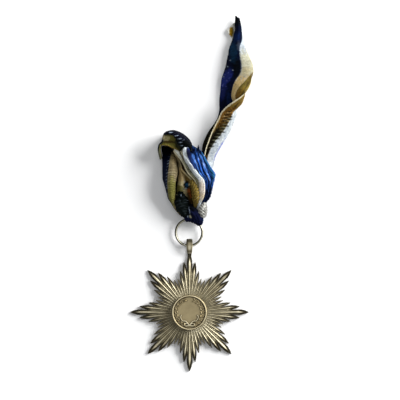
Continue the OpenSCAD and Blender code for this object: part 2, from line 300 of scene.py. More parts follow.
@dataclass(frozen=True)
class Ribs:
    """Raised ribs across a sheet, on some of its columns."""

    pitch: float
    depth: float
    columns: tuple[float, float] = (-1.0, 99.0)
    slant: float = 0.0
    soft: float = 0.4
    # Share and colour laid on the rib tops: a painted highlight on most sheets, the grey crosshatch of the
    # weave on the tail's white
    crest_paint: float = 0.0
    crest_hue: SilkColour = SilkColour.STEEL
    stretch: tuple[float, float] = (-1.0, 999.0)

    # How far the ribs stray as a share of their pitch, over what width and length they do, and how
    # softly their stretch ends
    STRAY = 0.25
    STRAY_SIZE = (2.3, 2.9)
    STRETCH_SOFT = 5.0

    def wave(self, noise: Wander, cloth: Cloth) -> Array:
        """Gives the ribs, from 0 between them to 1 on them, inside their columns.

        Args:
            noise: the noise that lets them stray.
            cloth: the sheet's points.

        Returns:
            Shares from 0 to 1.
        """
        width, length = self.STRAY_SIZE
        stray = noise.at(cloth.across / width, cloth.along / length + 20)
        place = cloth.along + self.slant * cloth.across + self.STRAY * self.pitch * stray
        wave = np.sin(2 * math.pi * place / self.pitch) * 0.5 + 0.5
        wave = wave * window(cloth.s, *self.columns, self.soft)
        return wave * window(cloth.along, *self.stretch, self.STRETCH_SOFT)


@dataclass(frozen=True)
class Creases:
    """Creases that run along a sheet, on some of its columns."""

    spacing: float
    length: float
    depth: float
    columns: tuple[float, float] = (-1.0, 99.0)
    soft: float = 0.5
    # Strength of the painted shade in the creases and the painted highlight on their ridges
    shade: float = 0.0

    # How far the creases bend, over what width and length they do, and how much of their height
    # lies below the sheet
    BEND = 0.8
    BEND_SIZE = (9.0, 6.0)
    SUNK = 0.4

    def lines(self, noise: Wander, cloth: Cloth) -> Array:
        """Gives the creases, low between them and high on them, inside their columns.

        Args:
            noise: the noise that they follow.
            cloth: the sheet's points.

        Returns:
            Heights from -0.4 to 0.6.
        """
        width, length = self.BEND_SIZE
        bend = self.BEND * noise.at(cloth.along / length + 11, cloth.across / width)
        lines = noise.ridges(cloth.across / self.spacing + bend, cloth.along / self.length + 31)
        return (lines - self.SUNK) * window(cloth.s, *self.columns, self.soft)


@dataclass
class SilkSheet:
    """A sheet of silk on a smooth surface through rows of section points."""

    name: str
    sections: Array
    faces: tuple[int, int]
    stripes: list[Stripe]
    flat: tuple[float, float] = (0.010, 0.010)
    held: str = "folded"
    area: float | None = None
    spots: list[Spot] = field(default_factory=list)
    ribs: list[Ribs] = field(default_factory=list)
    creases: list[Creases] = field(default_factory=list)
    streaks: tuple[float, float] = (-2.0, -1.0)
    sag: float = 0.15
    crisp: float = 0.0
    seed: int = 1
    lowest: float = 0.2
    thickness: float = 0.36
    wire_gap: float | None = None

    # How far the seed of the colours' own noise lies from the sheet's
    HUE_SEED = 50
    # Width and length of the bumps of slack
    SLACK_SIZE = (3.1, 4.7)
    # Powers that round the ribs off and that keep their colour to their tops
    RIB_ROUND = 0.7
    CREST_POWER = 6
    # How far the seams between the stripes wobble, in columns, and over what width and length
    SEAM_WOBBLE = 0.04
    SEAM_SIZE = (0.8, 0.5)
    # Mean share of the colour on a rib's top, how much it changes, and over what width
    CREST_MEAN = 0.4
    CREST_CHANGE = 1.2
    CREST_PATCH_SIZE = 1.2
    # Least and most light that a crease leaves, as painted shade and painted highlight
    CREASE_LIGHT = (0.2, 3)
    STREAK_SOFT = 0.4

    def build(self) -> bpy.types.Object:
        """Makes the sheet's object, with its colours and painted shade and highlights, its woven coordinates
        and its thickness.

        Returns:
            The finished object, which rides on the body and stands for the ribbon.
        """
        rows, columns = self.faces
        mesh = bmesh.new()
        bmesh.ops.create_grid(mesh, x_segments=columns, y_segments=rows, size=0.5)
        mesh.verts.ensure_lookup_table()
        flat = np.array([v.co[:2] for v in mesh.verts]) + 0.5
        order = np.lexsort((flat[:, 0].round(6), flat[:, 1].round(6)))
        last_row, last_column = np.array(self.sections.shape[:2]) - 1
        grid = (flat * (last_column, last_row))[order].reshape(rows + 1, columns + 1, 2)
        cloth = self.surface(grid[..., 0], grid[..., 1])
        places = np.empty((len(order), 3))
        places[order] = cloth.points.reshape(-1, 3) * MM
        for vert, place in zip(mesh.verts, places):
            vert.co = place
        weave = np.empty((len(order), 2))
        weave[order] = np.stack([cloth.across, cloth.along], axis=-1).reshape(-1, 2)
        layer = mesh.loops.layers.uv.new("UVMap")
        for face in mesh.faces:
            face.smooth = True
            for loop in face.loops:
                loop[layer].uv = weave[loop.vert.index]
        data = meshed(self.name, mesh)
        paint = np.ones((len(order), 4))
        paint[order, :3] = self.hues(cloth).reshape(-1, 3)
        paint[order, 3] = window(cloth.s, *self.streaks, self.STREAK_SOFT).ravel()
        data.attributes.new("dye", "FLOAT_COLOR", "POINT").data.foreach_set("color", paint.ravel())
        piece = placed(self.name, data)
        wall = piece.modifiers.new("wall", "SOLIDIFY")
        wall.thickness = self.thickness * MM
        wall.offset = 0
        wall.use_even_offset = False
        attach(piece, ROOT)
        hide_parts("ribbon")
        return piece

    def surface(self, s: Array, t: Array) -> Cloth:
        """Places the sheet's points and measures the cloth between them.

        Args:
            s: column of the sections at each point.
            t: row of the sections at each point.

        Returns:
            The points, and the distances across and along the cloth, all in millimetres.
        """
        down = spline_weights(self.sections.shape[0], t[:, 0])
        over = spline_weights(self.sections.shape[1], s[0]) * (1 - self.crisp)
        over += straight_weights(self.sections.shape[1], s[0]) * self.crisp
        points = np.einsum("ri,cj,ijk->rck", down, over, self.sections)
        steps = np.linalg.norm(np.diff(points, axis=1), axis=2)
        across = np.concatenate([np.zeros((len(points), 1)), np.cumsum(steps, axis=1)], axis=1)
        across = across * (across[:, -1:].mean() / across[:, -1:])
        steps = np.linalg.norm(np.diff(points, axis=0), axis=2)
        along = np.concatenate([np.zeros((1, points.shape[1])), np.cumsum(steps, axis=0)], axis=0)
        normals = np.cross(np.gradient(points, axis=1), np.gradient(points, axis=0))
        normals /= np.maximum(np.linalg.norm(normals, axis=2, keepdims=True), 1e-9)
        cloth = Cloth(s, across, along, points)
        points = points + normals * self.relief(cloth)[..., None]
        points[..., 2] = np.maximum(points[..., 2], self.lowest)
        if self.wire_gap is not None:
            points = JumpRing().cleared(points, self.wire_gap + self.thickness / 2)
        return replace(cloth, points=points)

    def relief(self, cloth: Cloth) -> Array:
        """Adds up the heights of the sheet's ribs, creases and slack.

        Args:
            cloth: the sheet's points, still smooth.

        Returns:
            Heights in millimetres.
        """
        noise = Wander(self.seed)
        width, length = self.SLACK_SIZE
        height = self.sag * noise.at(cloth.across / width + 7, cloth.along / length + 3)
        for rib in self.ribs:
            height += rib.depth * rib.wave(noise, cloth) ** self.RIB_ROUND
        for crease in self.creases:
            height += crease.depth * crease.lines(noise, cloth)
        return height

    def striped(self, edge: Array) -> Array:
        """Lays the stripes side by side.

        Args:
            edge: column of the sections at each point, with the wobble of the seams.

        Returns:
            Red, green and blue at each point.
        """
        knots, shades = [], []
        start = -1.0
        for stripe in self.stripes:
            knots += [start + stripe.soft, stripe.until - stripe.soft]
            shades += [stripe.dye.value] * 2
            start = stripe.until
        return np.stack([np.interp(edge, knots, band) for band in zip(*shades)], axis=-1)

    def hues(self, cloth: Cloth) -> Array:
        """Colours the sheet's points, with painted shade and highlights along the creases, colour on the rib
        tops, and patches, many of which are painted shade or painted highlights.

        Args:
            cloth: the sheet's points.

        Returns:
            Red, green and blue at each point.
        """
        noise = Wander(self.seed + self.HUE_SEED)
        ridges = Wander(self.seed)
        width, length = self.SEAM_SIZE
        edge = cloth.s + self.SEAM_WOBBLE * noise.at(cloth.across / width, cloth.along / length)
        colours = self.striped(edge)
        # Painted shade in the creases and painted highlight along their ridges
        for crease in self.creases:
            light = 1 + crease.shade * crease.lines(ridges, cloth)
            colours = colours * np.clip(light, *self.CREASE_LIGHT)[..., None]
        # Colour on the rib tops: a painted highlight on most sheets, the grey crosshatch of the weave on the
        # tail's white
        for rib in self.ribs:
            change = noise.at(cloth.across / self.CREST_PATCH_SIZE, cloth.along)
            patches = np.clip(self.CREST_MEAN + self.CREST_CHANGE * change, 0, 1)
            share = rib.wave(ridges, cloth) ** self.CREST_POWER * patches * rib.crest_paint
            colours = overlaid(colours, rib.crest_hue, share)
        # Patches of colour, many of them painted shade or painted highlights
        for spot in self.spots:
            colours = overlaid(colours, spot.dye, spot.share(noise, cloth.points, edge))
        return colours


@dataclass
class Nodes:
    """A short hand for the nodes of one material."""

    # Where most of the noise lies
    NOISE_SPAN = (0.3, 0.7)

    material: bpy.types.Material

    @classmethod
    def named(cls, name: str) -> "Nodes":
        """Starts an empty material with a shader and an output."""
        material = bpy.data.materials.new(name)
        material.use_nodes = True
        material.node_tree.nodes.clear()
        nodes = cls(material)
        shader = nodes.add("ShaderNodeBsdfPrincipled")
        output = nodes.add("ShaderNodeOutputMaterial")
        nodes.link(shader.outputs["BSDF"], output.inputs["Surface"])
        return nodes

    @property
    def shader(self) -> bpy.types.ShaderNode:
        """The material's shader."""
        return next(n for n in self.material.node_tree.nodes if n.type == "BSDF_PRINCIPLED")

    def add(self, kind: str, **settings: object) -> bpy.types.Node:
        """Adds a node.

        Args:
            kind: the node's type.
            settings: the node's own settings by name.

        Returns:
            The new node.
        """
        node = self.material.node_tree.nodes.new(kind)
        for name, value in settings.items():
            setattr(node, name, value)
        return node

    def link(self, source: Socket, target: Socket) -> None:
        """Links an output to an input."""
        self.material.node_tree.links.new(source, target)

    def feed(self, node: bpy.types.Node, **inputs: object) -> bpy.types.Node:
        """Sets or links a node's inputs.

        Args:
            node: the node.
            inputs: for each input, named by its place as i0, i1 and so on, a socket or a value.

        Returns:
            The same node.
        """
        for key, value in inputs.items():
            socket = node.inputs[int(key[1:])]
            if isinstance(value, Socket):
                self.link(value, socket)
            else:
                socket.default_value = value
        return node

    def math(self, operation: str, *values: object) -> Socket:
        """Adds a sum of one kind.

        Args:
            operation: what the node works out.
            values: sockets or numbers.

        Returns:
            The result's socket.
        """
        node = self.add("ShaderNodeMath", operation=operation)
        return self.feed(node, **{f"i{k}": v for k, v in enumerate(values)}).outputs[0]

    def times(self, first: object, second: object) -> Socket:
        """Multiplies two sockets or numbers."""
        return self.math("MULTIPLY", first, second)

    def plus(self, first: object, second: object) -> Socket:
        """Adds two sockets or numbers."""
        return self.math("ADD", first, second)

    def apart(self, first: object, second: object) -> Socket:
        """Gives how far apart two sockets or numbers are."""
        return self.math("ABSOLUTE", self.math("SUBTRACT", first, second))

    def wave(self, place: object, pitch: float) -> Socket:
        """Gives a wave along a place, from 0 to 1."""
        return self.span(self.math("SINE", self.times(place, 2 * math.pi / pitch)), -1.0, 1.0, 0.0, 1.0)

    def span(
        self, value: object, low: float, high: float, to_low: object, to_high: object
    ) -> Socket:
        """Maps a range of values to another, and holds it at the ends.

        Args:
            value: the socket that is mapped.
            low: its low end.
            high: its high end.
            to_low: what the low end becomes.
            to_high: what the high end becomes.

        Returns:
            The result's socket.
        """
        node = self.add("ShaderNodeMapRange")
        return self.feed(node, i0=value, i1=low, i2=high, i3=to_low, i4=to_high).outputs[0]

    def blend(self, share: object, first: object, second: object, kind: str = "MIX") -> Socket:
        """Mixes two colours.

        Args:
            share: how much of the second there is.
            first: a colour or its socket.
            second: a colour or its socket.
            kind: how they are mixed.

        Returns:
            The result's socket.
        """
        node = self.add("ShaderNodeMix", data_type="RGBA", blend_type=kind)
        for index, value in ((0, share), (6, first), (7, second)):
            if isinstance(value, Socket):
                self.link(value, node.inputs[index])
            else:
                node.inputs[index].default_value = (*value, 1.0) if index else value
        return node.outputs[2]

    def noise(self, place: Socket, scale: float, detail: float = 2.0) -> Socket:
        """Adds noise with bumps of about one over scale, from 0 to 1."""
        node = self.add("ShaderNodeTexNoise")
        self.link(place, node.inputs["Vector"])
        node.inputs["Scale"].default_value = scale
        node.inputs["Detail"].default_value = detail
        return node.outputs["Fac"]

    def mottled(self, noise: Socket, low: object, high: object) -> Socket:
        """Spreads noise, which keeps near its middle, from one value to another."""
        return self.span(noise, *self.NOISE_SPAN, low, high)

    def bump(self, height: Socket, depth: float) -> None:
        """Raises the surface by a height from 0 to 1 that is depth metres at its most."""
        node = self.add("ShaderNodeBump")
        node.inputs["Distance"].default_value = depth
        self.link(height, node.inputs["Height"])
        self.link(node.outputs["Normal"], self.shader.inputs["Normal"])


@dataclass(frozen=True)
class RibbedSilk:
    """Ribbed silk: it takes its colour, painted shade and highlights included, from the sheet and its weave
    from the sheet's own coordinates.
    """

    rib_pitch: float = 0.62
    thread_pitch: float = 0.3
    rib_depth: float = 0.09
    roughness: float = 0.52
    specular: float = 0.01

    # Scales of the ribs' drift, of the clouds and of the flecks, to the millimetre
    DRIFT_SCALE = 0.9
    CLOUD_SCALE = 0.45
    FLECK_SCALE = 1.8
    # How far the ribs drift along the weave, in millimetres
    DRIFT = 0.35
    # Light between the ribs, where the silk is plain and where it is streaked, and light on them
    VALLEYS = (0.8, 0.95)
    CREST = 1.1
    # Least and most light of the clouds and of the flecks
    CLOUD_LIGHT = (0.8, 1.15)
    FLECK_LIGHT = (0.8, 1.16)
    # Scale of the streaks across and along the weave, the noise from the darkest to the lightest
    # streak, and how much they dim and light the silk
    STREAK_SCALE = (3.2, 0.45, 1.0)
    STREAK_SPAN = (0.38, 0.64)
    STREAK_DIM = 0.55
    STREAK_LIT = 0.5
    # How much the flecks change the roughness
    FLECK_ROUGH = (-0.08, 0.1)
    # Shares of the ribs, the threads and the flecks in the relief
    RELIEF = (0.7, 0.2, 0.3)

    def material(self, name: str) -> bpy.types.Material:
        """Makes the finish.

        Args:
            name: the material's name.

        Returns:
            The material.
        """
        nodes = Nodes.named(name)
        shader = nodes.shader
        paint = nodes.add("ShaderNodeAttribute", attribute_name="dye")
        weave = nodes.add("ShaderNodeUVMap", uv_map="UVMap").outputs["UV"]
        split = nodes.add("ShaderNodeSeparateXYZ")
        nodes.link(weave, split.inputs[0])
        drift = nodes.times(nodes.noise(weave, self.DRIFT_SCALE), self.DRIFT)
        rib = nodes.wave(nodes.plus(split.outputs["Y"], drift), self.rib_pitch)
        thread = nodes.wave(split.outputs["X"], self.thread_pitch)
        cloud = nodes.noise(weave, self.CLOUD_SCALE, 4.0)
        fleck = nodes.noise(weave, self.FLECK_SCALE, 3.0)
        valley = nodes.span(paint.outputs["Alpha"], 0.0, 1.0, *self.VALLEYS)
        shade = nodes.span(rib, 0.0, 1.0, valley, self.CREST)
        shade = nodes.times(shade, nodes.mottled(cloud, *self.CLOUD_LIGHT))
        shade = nodes.times(shade, nodes.mottled(fleck, *self.FLECK_LIGHT))
        shade = nodes.times(shade, self.streaks(nodes, weave, paint.outputs["Alpha"]))
        tint = nodes.feed(nodes.add("ShaderNodeCombineXYZ"), i0=shade, i1=shade, i2=shade)
        colour = nodes.blend(1.0, paint.outputs["Color"], tint.outputs[0], "MULTIPLY")
        nodes.link(colour, shader.inputs["Base Color"])
        rough = [self.roughness + change for change in self.FLECK_ROUGH]
        nodes.link(nodes.mottled(fleck, *rough), shader.inputs["Roughness"])
        shader.inputs["Specular IOR Level"].default_value = self.specular
        ribs, threads, flecks = self.RELIEF
        relief = nodes.plus(nodes.times(rib, ribs), nodes.times(thread, threads))
        nodes.bump(nodes.plus(relief, nodes.times(fleck, flecks)), self.rib_depth * MM)
        return nodes.material

    def streaks(self, nodes: Nodes, weave: Socket, share: Socket) -> Socket:
        """Gives the light of fine streaks along the silk.

        Args:
            nodes: the material's nodes.
            weave: the place on the weave.
            share: how streaked the silk is.

        Returns:
            The light's socket, 1 where the silk isn't streaked.
        """
        fibres = nodes.add("ShaderNodeMapping")
        nodes.link(weave, fibres.inputs["Vector"])
        fibres.inputs["Scale"].default_value = self.STREAK_SCALE
        streak = nodes.noise(fibres.outputs[0], 1.0, 3.0)
        dim = nodes.math("SUBTRACT", 1.0, nodes.times(share, self.STREAK_DIM))
        lit = nodes.plus(1.0, nodes.times(share, self.STREAK_LIT))
        return nodes.span(streak, *self.STREAK_SPAN, dim, lit)


@dataclass(frozen=True)
class Ground:
    """The plane or cone from which the relief of a metal piece rises, in metres."""

    centre: tuple[float, float]
    top: float
    fall: float
    rises: tuple[float, float]
    open_shares: tuple[float, float]
    rays: int = 0
    # Reaches of dark rings and how they fade: painted shade along both edges of the ring's wire, and darker
    # lines along both edges of the medallion's rim
    dark_rings: tuple[float, ...] = ()
    dark_ring_span: tuple[float, float] = (0.12 * MM, 0.32 * MM)
    inner_reach: float = 9.5 * MM
    outer_reach: float = 18.0 * MM
    plate: float = 0.7 * MM
    # Where the strap over the ring begins, and how far past that its painted highlight is brightest
    strap_reach: float = 25.2 * MM
    strap_highlight: float = 2.3 * MM

    # Where the strap begins, how its painted highlight fades from its brightest place, and that highlight
    STRAP_SOFT = 0.6 * MM
    STRAP_FADE = (0.3 * MM, 2.4 * MM)
    STRAP_LIGHT = (1.4, 0.08)
    # Two dark lines on each ray: how far from its middle and how wide, as shares of its turn
    LINE_PLACE = 0.23
    LINE_SPAN = (0.05, 0.17)
    # Shares left in those lines, on most rays and, darker as painted shade, on those that point to the sides
    LINE_SHARES = (0.4, 0.1)
    SIDE_RAYS = (0.8, 0.95)
    # Share left in the dark rings
    DARK_RING_SHARE = 0.1
    # How softly the rubbing ends below the ground and begins underneath, and its share there
    SIDE_SOFT = 0.12 * MM
    UNDER_SOFT = 0.1 * MM
    UNDER_SHARE = 0.7

    def wear_and_painted_light(self, nodes: Nodes, place: Socket) -> Socket:
        """Gives how much a place is rubbed bright: little on the ground, wholly on its relief, much
        underneath. Its low ground, darker towards the points, is partly patina and partly painted shade, and
        the strap's bright band is a painted highlight.

        Args:
            nodes: the material's nodes.
            place: the surface's own place.

        Returns:
            A share, from 0 to 1 or past it where the strap's painted highlight is.
        """
        split = nodes.add("ShaderNodeSeparateXYZ")
        nodes.link(place, split.inputs[0])
        x = nodes.math("SUBTRACT", split.outputs["X"], self.centre[0])
        y = nodes.math("SUBTRACT", split.outputs["Y"], self.centre[1])
        reach = nodes.math("SQRT", nodes.plus(nodes.times(x, x), nodes.times(y, y)))
        ground = nodes.math("SUBTRACT", self.top, nodes.times(reach, self.fall))
        height = nodes.math("SUBTRACT", split.outputs["Z"], ground)
        rise = nodes.span(reach, self.inner_reach, self.outer_reach, *self.rises)
        open_share = nodes.span(reach, self.inner_reach, self.outer_reach, *self.open_shares)
        raised = self.strapped(nodes, reach, nodes.span(height, 0.0, rise, open_share, 1.0))
        if self.rays:
            raised = nodes.times(raised, self.lined(nodes, x, y, reach))
        for dark_ring in self.dark_rings:
            darkened = nodes.span(nodes.apart(reach, dark_ring), *self.dark_ring_span, self.DARK_RING_SHARE, 1.0)
            raised = nodes.times(raised, darkened)
        side = nodes.span(height, -self.SIDE_SOFT, 0.0, 0.0, 1.0)
        below = nodes.span(height, -self.plate, -self.plate - self.UNDER_SOFT, 0.0, self.UNDER_SHARE)
        return nodes.math("MAXIMUM", nodes.times(raised, side), below)

    def strapped(self, nodes: Nodes, reach: Socket, raised: Socket) -> Socket:
        """Puts the strap's painted highlight in place of the relief's share, past the strap's reach."""
        past = nodes.span(reach, self.strap_reach, self.strap_reach + self.STRAP_SOFT, 0.0, 1.0)
        off = nodes.apart(reach, self.strap_reach + self.strap_highlight)
        strap = nodes.span(off, *self.STRAP_FADE, *self.STRAP_LIGHT)
        raised = nodes.times(raised, nodes.math("SUBTRACT", 1.0, past))
        return nodes.plus(raised, nodes.times(strap, past))

    def lined(self, nodes: Nodes, x: Socket, y: Socket, reach: Socket) -> Socket:
        """Gives the share that the dark lines on the rays leave, which are darker, as painted shade, on the
        rays that point to the sides.
        """
        turn = nodes.times(nodes.math("ARCTAN2", y, x), self.rays / (2 * math.pi))
        off = nodes.apart(nodes.apart(nodes.math("FRACT", turn), 0.5), self.LINE_PLACE)
        across = nodes.math("DIVIDE", nodes.math("ABSOLUTE", x), reach)
        seam = nodes.span(across, *self.SIDE_RAYS, *self.LINE_SHARES)
        return nodes.span(off, *self.LINE_SPAN, seam, 1.0)


@dataclass(frozen=True)
class AntiqueMetal:
    """Gilt or silvered metal that is dark with patina in its hollows and rubbed bright on its ridges, with
    painted shade and a painted highlight from its ground where it has one.
    """

    bright: str
    worn: str
    dark: str
    roughness: float = 0.34
    hollow: float = 0.9
    crevice: tuple[float, float] = (0.3, 0.8)
    cast_depth: float = 0.05
    patina: float = 0.7
    metallic: float = 1.0
    polish: tuple[float, float] = (0.55, 1.0)
    ground: Ground | None = None

    # Scales of the patina's clouds and of the cast grain, to the metre
    CLOUD_SCALE = 260.0
    GRAIN_SCALE = 1500.0
    # Share rubbed at which the dark coat is gone
    COAT_END = 0.6
    # Grain over which the polish grows, and the least share of it that is left
    GRAIN_SPAN = (0.35, 0.65)
    GRAIN_POLISH = 0.7
    # Where the strap's painted highlight lifts the share past 1, up to this much, the metal is only so
    # metallic, so that the highlight shows as bright colour
    HIGHLIGHT_TOP = 1.25
    HIGHLIGHT_METALLIC = 0.1
    # How much rougher the hollows are, and how much the grain changes the roughness
    HOLLOW_ROUGH = 0.28
    GRAIN_ROUGH = 0.05

    def material(self, name: str) -> bpy.types.Material:
        """Makes the finish.

        Args:
            name: the material's name.

        Returns:
            The material.
        """
        nodes = Nodes.named(name)
        shader = nodes.shader
        place = nodes.add("ShaderNodeTexCoord").outputs["Object"]
        near = nodes.add("ShaderNodeAmbientOcclusion", samples=8, only_local=True)
        near.inputs["Distance"].default_value = self.hollow * MM
        open_share = nodes.span(near.outputs["AO"], *self.crevice, 0.0, 1.0)
        cloud = nodes.noise(place, self.CLOUD_SCALE, 4.0)
        grain = nodes.noise(place, self.GRAIN_SCALE, 3.0)
        wear_and_painted_light = nodes.times(open_share, nodes.mottled(cloud, self.patina, 1.0))
        if self.ground:
            wear_and_painted_light = nodes.times(wear_and_painted_light, self.ground.wear_and_painted_light(nodes, place))
        bare = nodes.span(wear_and_painted_light, 0.0, self.COAT_END, 0.0, 1.0)
        colour = nodes.blend(bare, linear(self.dark), linear(self.worn))
        polish = nodes.span(wear_and_painted_light, *self.polish, 0.0, 1.0)
        polish = nodes.times(polish, nodes.span(grain, *self.GRAIN_SPAN, self.GRAIN_POLISH, 1.0))
        colour = nodes.blend(polish, colour, linear(self.bright))
        nodes.link(colour, shader.inputs["Base Color"])
        metallic = nodes.span(wear_and_painted_light, 1.0, self.HIGHLIGHT_TOP, self.metallic, self.HIGHLIGHT_METALLIC)
        nodes.link(metallic, shader.inputs["Metallic"])
        rough = nodes.span(wear_and_painted_light, 0.0, 1.0, self.roughness + self.HOLLOW_ROUGH, self.roughness)
        rough = nodes.plus(rough, nodes.mottled(grain, -self.GRAIN_ROUGH, self.GRAIN_ROUGH))
        nodes.link(rough, shader.inputs["Roughness"])
        relief = nodes.plus(nodes.times(grain, 0.5), nodes.times(cloud, 0.5))
        nodes.bump(relief, self.cast_depth * MM)
        return nodes.material


@dataclass
class JumpRing:
    """The round-wire ring with its slit, which takes the place of the solid ring."""

    wire: float = 1.0 * MM
    tilt: float = math.radians(5)
    slit: float = 0.22 * MM
    slit_angle: float = math.radians(249)
    # How far the painted shade along the wire's edges is set off to the right
    lean: float = 0.22 * MM
    steps: int = 144
    sides: int = 20

    # How much the painted shade along the edges leans downward, as a share of how much it leans to the right
    LEAN_DOWN = 0.6

    @property
    def middle(self) -> Vector:
        """The middle of the ring."""
        low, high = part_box("ring")
        return (low + high) / 2

    @property
    def reach(self) -> float:
        """How far the middle of the wire lies from the middle of the ring."""
        low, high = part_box("ring")
        return (high.x - low.x - self.wire) / 2

    def cleared(self, points: Array, gap: float) -> Array:
        """Pushes points out of the wire and of a gap round it.

        Args:
            points: places in millimetres.
            gap: least distance from the wire's surface, in millimetres.

        Returns:
            The points, where those that were too near are moved straight outward.
        """
        middle = np.array(self.middle) / MM
        tilt = np.array(Matrix.Rotation(self.tilt, 3, "X"))
        local = (points - middle) @ tilt
        core = local * (1.0, 1.0, 0.0)
        core *= self.reach / MM / np.linalg.norm(core, axis=-1, keepdims=True)
        away = local - core
        distance = np.linalg.norm(away, axis=-1, keepdims=True)
        least = self.wire / 2 / MM + gap
        return (core + away * np.maximum(distance, least) / distance) @ tilt.T + middle

    def build(self) -> None:
        """Bends the wire round, closes its two ends and gives it its finish."""
        gap = self.slit / self.reach
        mesh = bmesh.new()
        start = Matrix.Translation((self.reach, 0, 0)) @ Matrix.Rotation(math.pi / 2, 4, "X")
        bmesh.ops.create_circle(mesh, cap_ends=False, segments=self.sides, radius=self.wire / 2, matrix=start)
        bmesh.ops.spin(
            mesh,
            geom=mesh.verts[:] + mesh.edges[:],
            cent=(0, 0, 0),
            axis=(0, 0, 1),
            angle=2 * math.pi - gap,
            steps=self.steps,
            use_merge=False,
        )
        ends = [edge for edge in mesh.edges if edge.is_boundary]
        bmesh.ops.holes_fill(mesh, edges=ends, sides=0)
        bmesh.ops.recalc_face_normals(mesh, faces=mesh.faces)
        turn = Matrix.Rotation(self.tilt, 4, "X") @ Matrix.Rotation(self.slit_angle + gap / 2, 4, "Z")
        bmesh.ops.transform(mesh, matrix=Matrix.Translation(self.middle) @ turn, verts=mesh.verts)
        for face in mesh.faces:
            face.smooth = len(face.verts) == 4
        data = meshed("jump_ring", mesh)
        data.materials.append(self.finish().material("ring_metal"))
        piece = placed("jump_ring", data)
        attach(piece, ROOT)
        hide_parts("ring")
        LOG.info("made %s with %d faces", piece.name, len(data.polygons))

    def finish(self) -> AntiqueMetal:
        """Gives silvered metal with painted shade along the inner and the outer edge of the ring's wire."""
        edges = Ground(
            centre=(self.middle.x + self.lean, self.middle.y - self.lean * self.LEAN_DOWN),
            top=-MM,
            fall=0.0,
            rises=(MM, MM),
            open_shares=(1.0, 1.0),
            dark_rings=(self.reach - self.wire / 2, self.reach + self.wire / 2),
            dark_ring_span=(0.2 * MM, 0.48 * MM),
        )
        return AntiqueMetal(
            "f8f4de",
            "7c7864",
            "1f1d15",
            cast_depth=0.002,
            patina=0.95,
            metallic=0.75,
            polish=(0.5, 1.0),
            ground=edges,
        )


@dataclass
class Star:
    """The star and its medallion, which keep their solids."""

    nodes: dict[str, bpy.types.Object]
    plate_top: float = 2.9 * MM
    plate_fall: float = 0.08
    field_depth: float = 0.5 * MM
    rim_reach: float = 7.45 * MM
    rim_width: float = 0.8 * MM
    rays: int = 56

    def dress(self) -> None:
        """Gives each hard piece its finish."""
        low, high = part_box("medallion")
        centre = ((low.x + high.x) / 2, (low.y + high.y) / 2)
        plate = Ground(
            centre=centre,
            top=self.plate_top,
            fall=self.plate_fall,
            rises=(0.2 * MM, 0.3 * MM),
            open_shares=(0.5, 0.03),
            rays=self.rays,
        )
        disc = Ground(
            centre=centre,
            top=high.z - self.field_depth,
            fall=0.0,
            rises=(0.2 * MM, 0.2 * MM),
            open_shares=(0.46, 0.46),
            dark_rings=(self.rim_reach - self.rim_width, self.rim_reach),
        )
        finishes = {
            "star": AntiqueMetal(
                "dfd7bb",
                "a1977a",
                "241f10",
                roughness=0.46,
                crevice=(0.1, 0.6),
                metallic=0.7,
                polish=(0.6, 0.95),
                ground=plate,
            ),
            "medallion": AntiqueMetal(
                "f6ebc8",
                "beae86",
                "30260f",
                roughness=0.36,
                hollow=0.8,
                crevice=(0.55, 0.97),
                patina=0.75,
                metallic=0.8,
                polish=(0.6, 0.95),
                ground=disc,
            ),
        }
        for name, finish in finishes.items():
            material = finish.material(f"{name}_metal")
            for slot in self.nodes[name].material_slots:
                slot.material = material
            LOG.info("dressed %s", name)


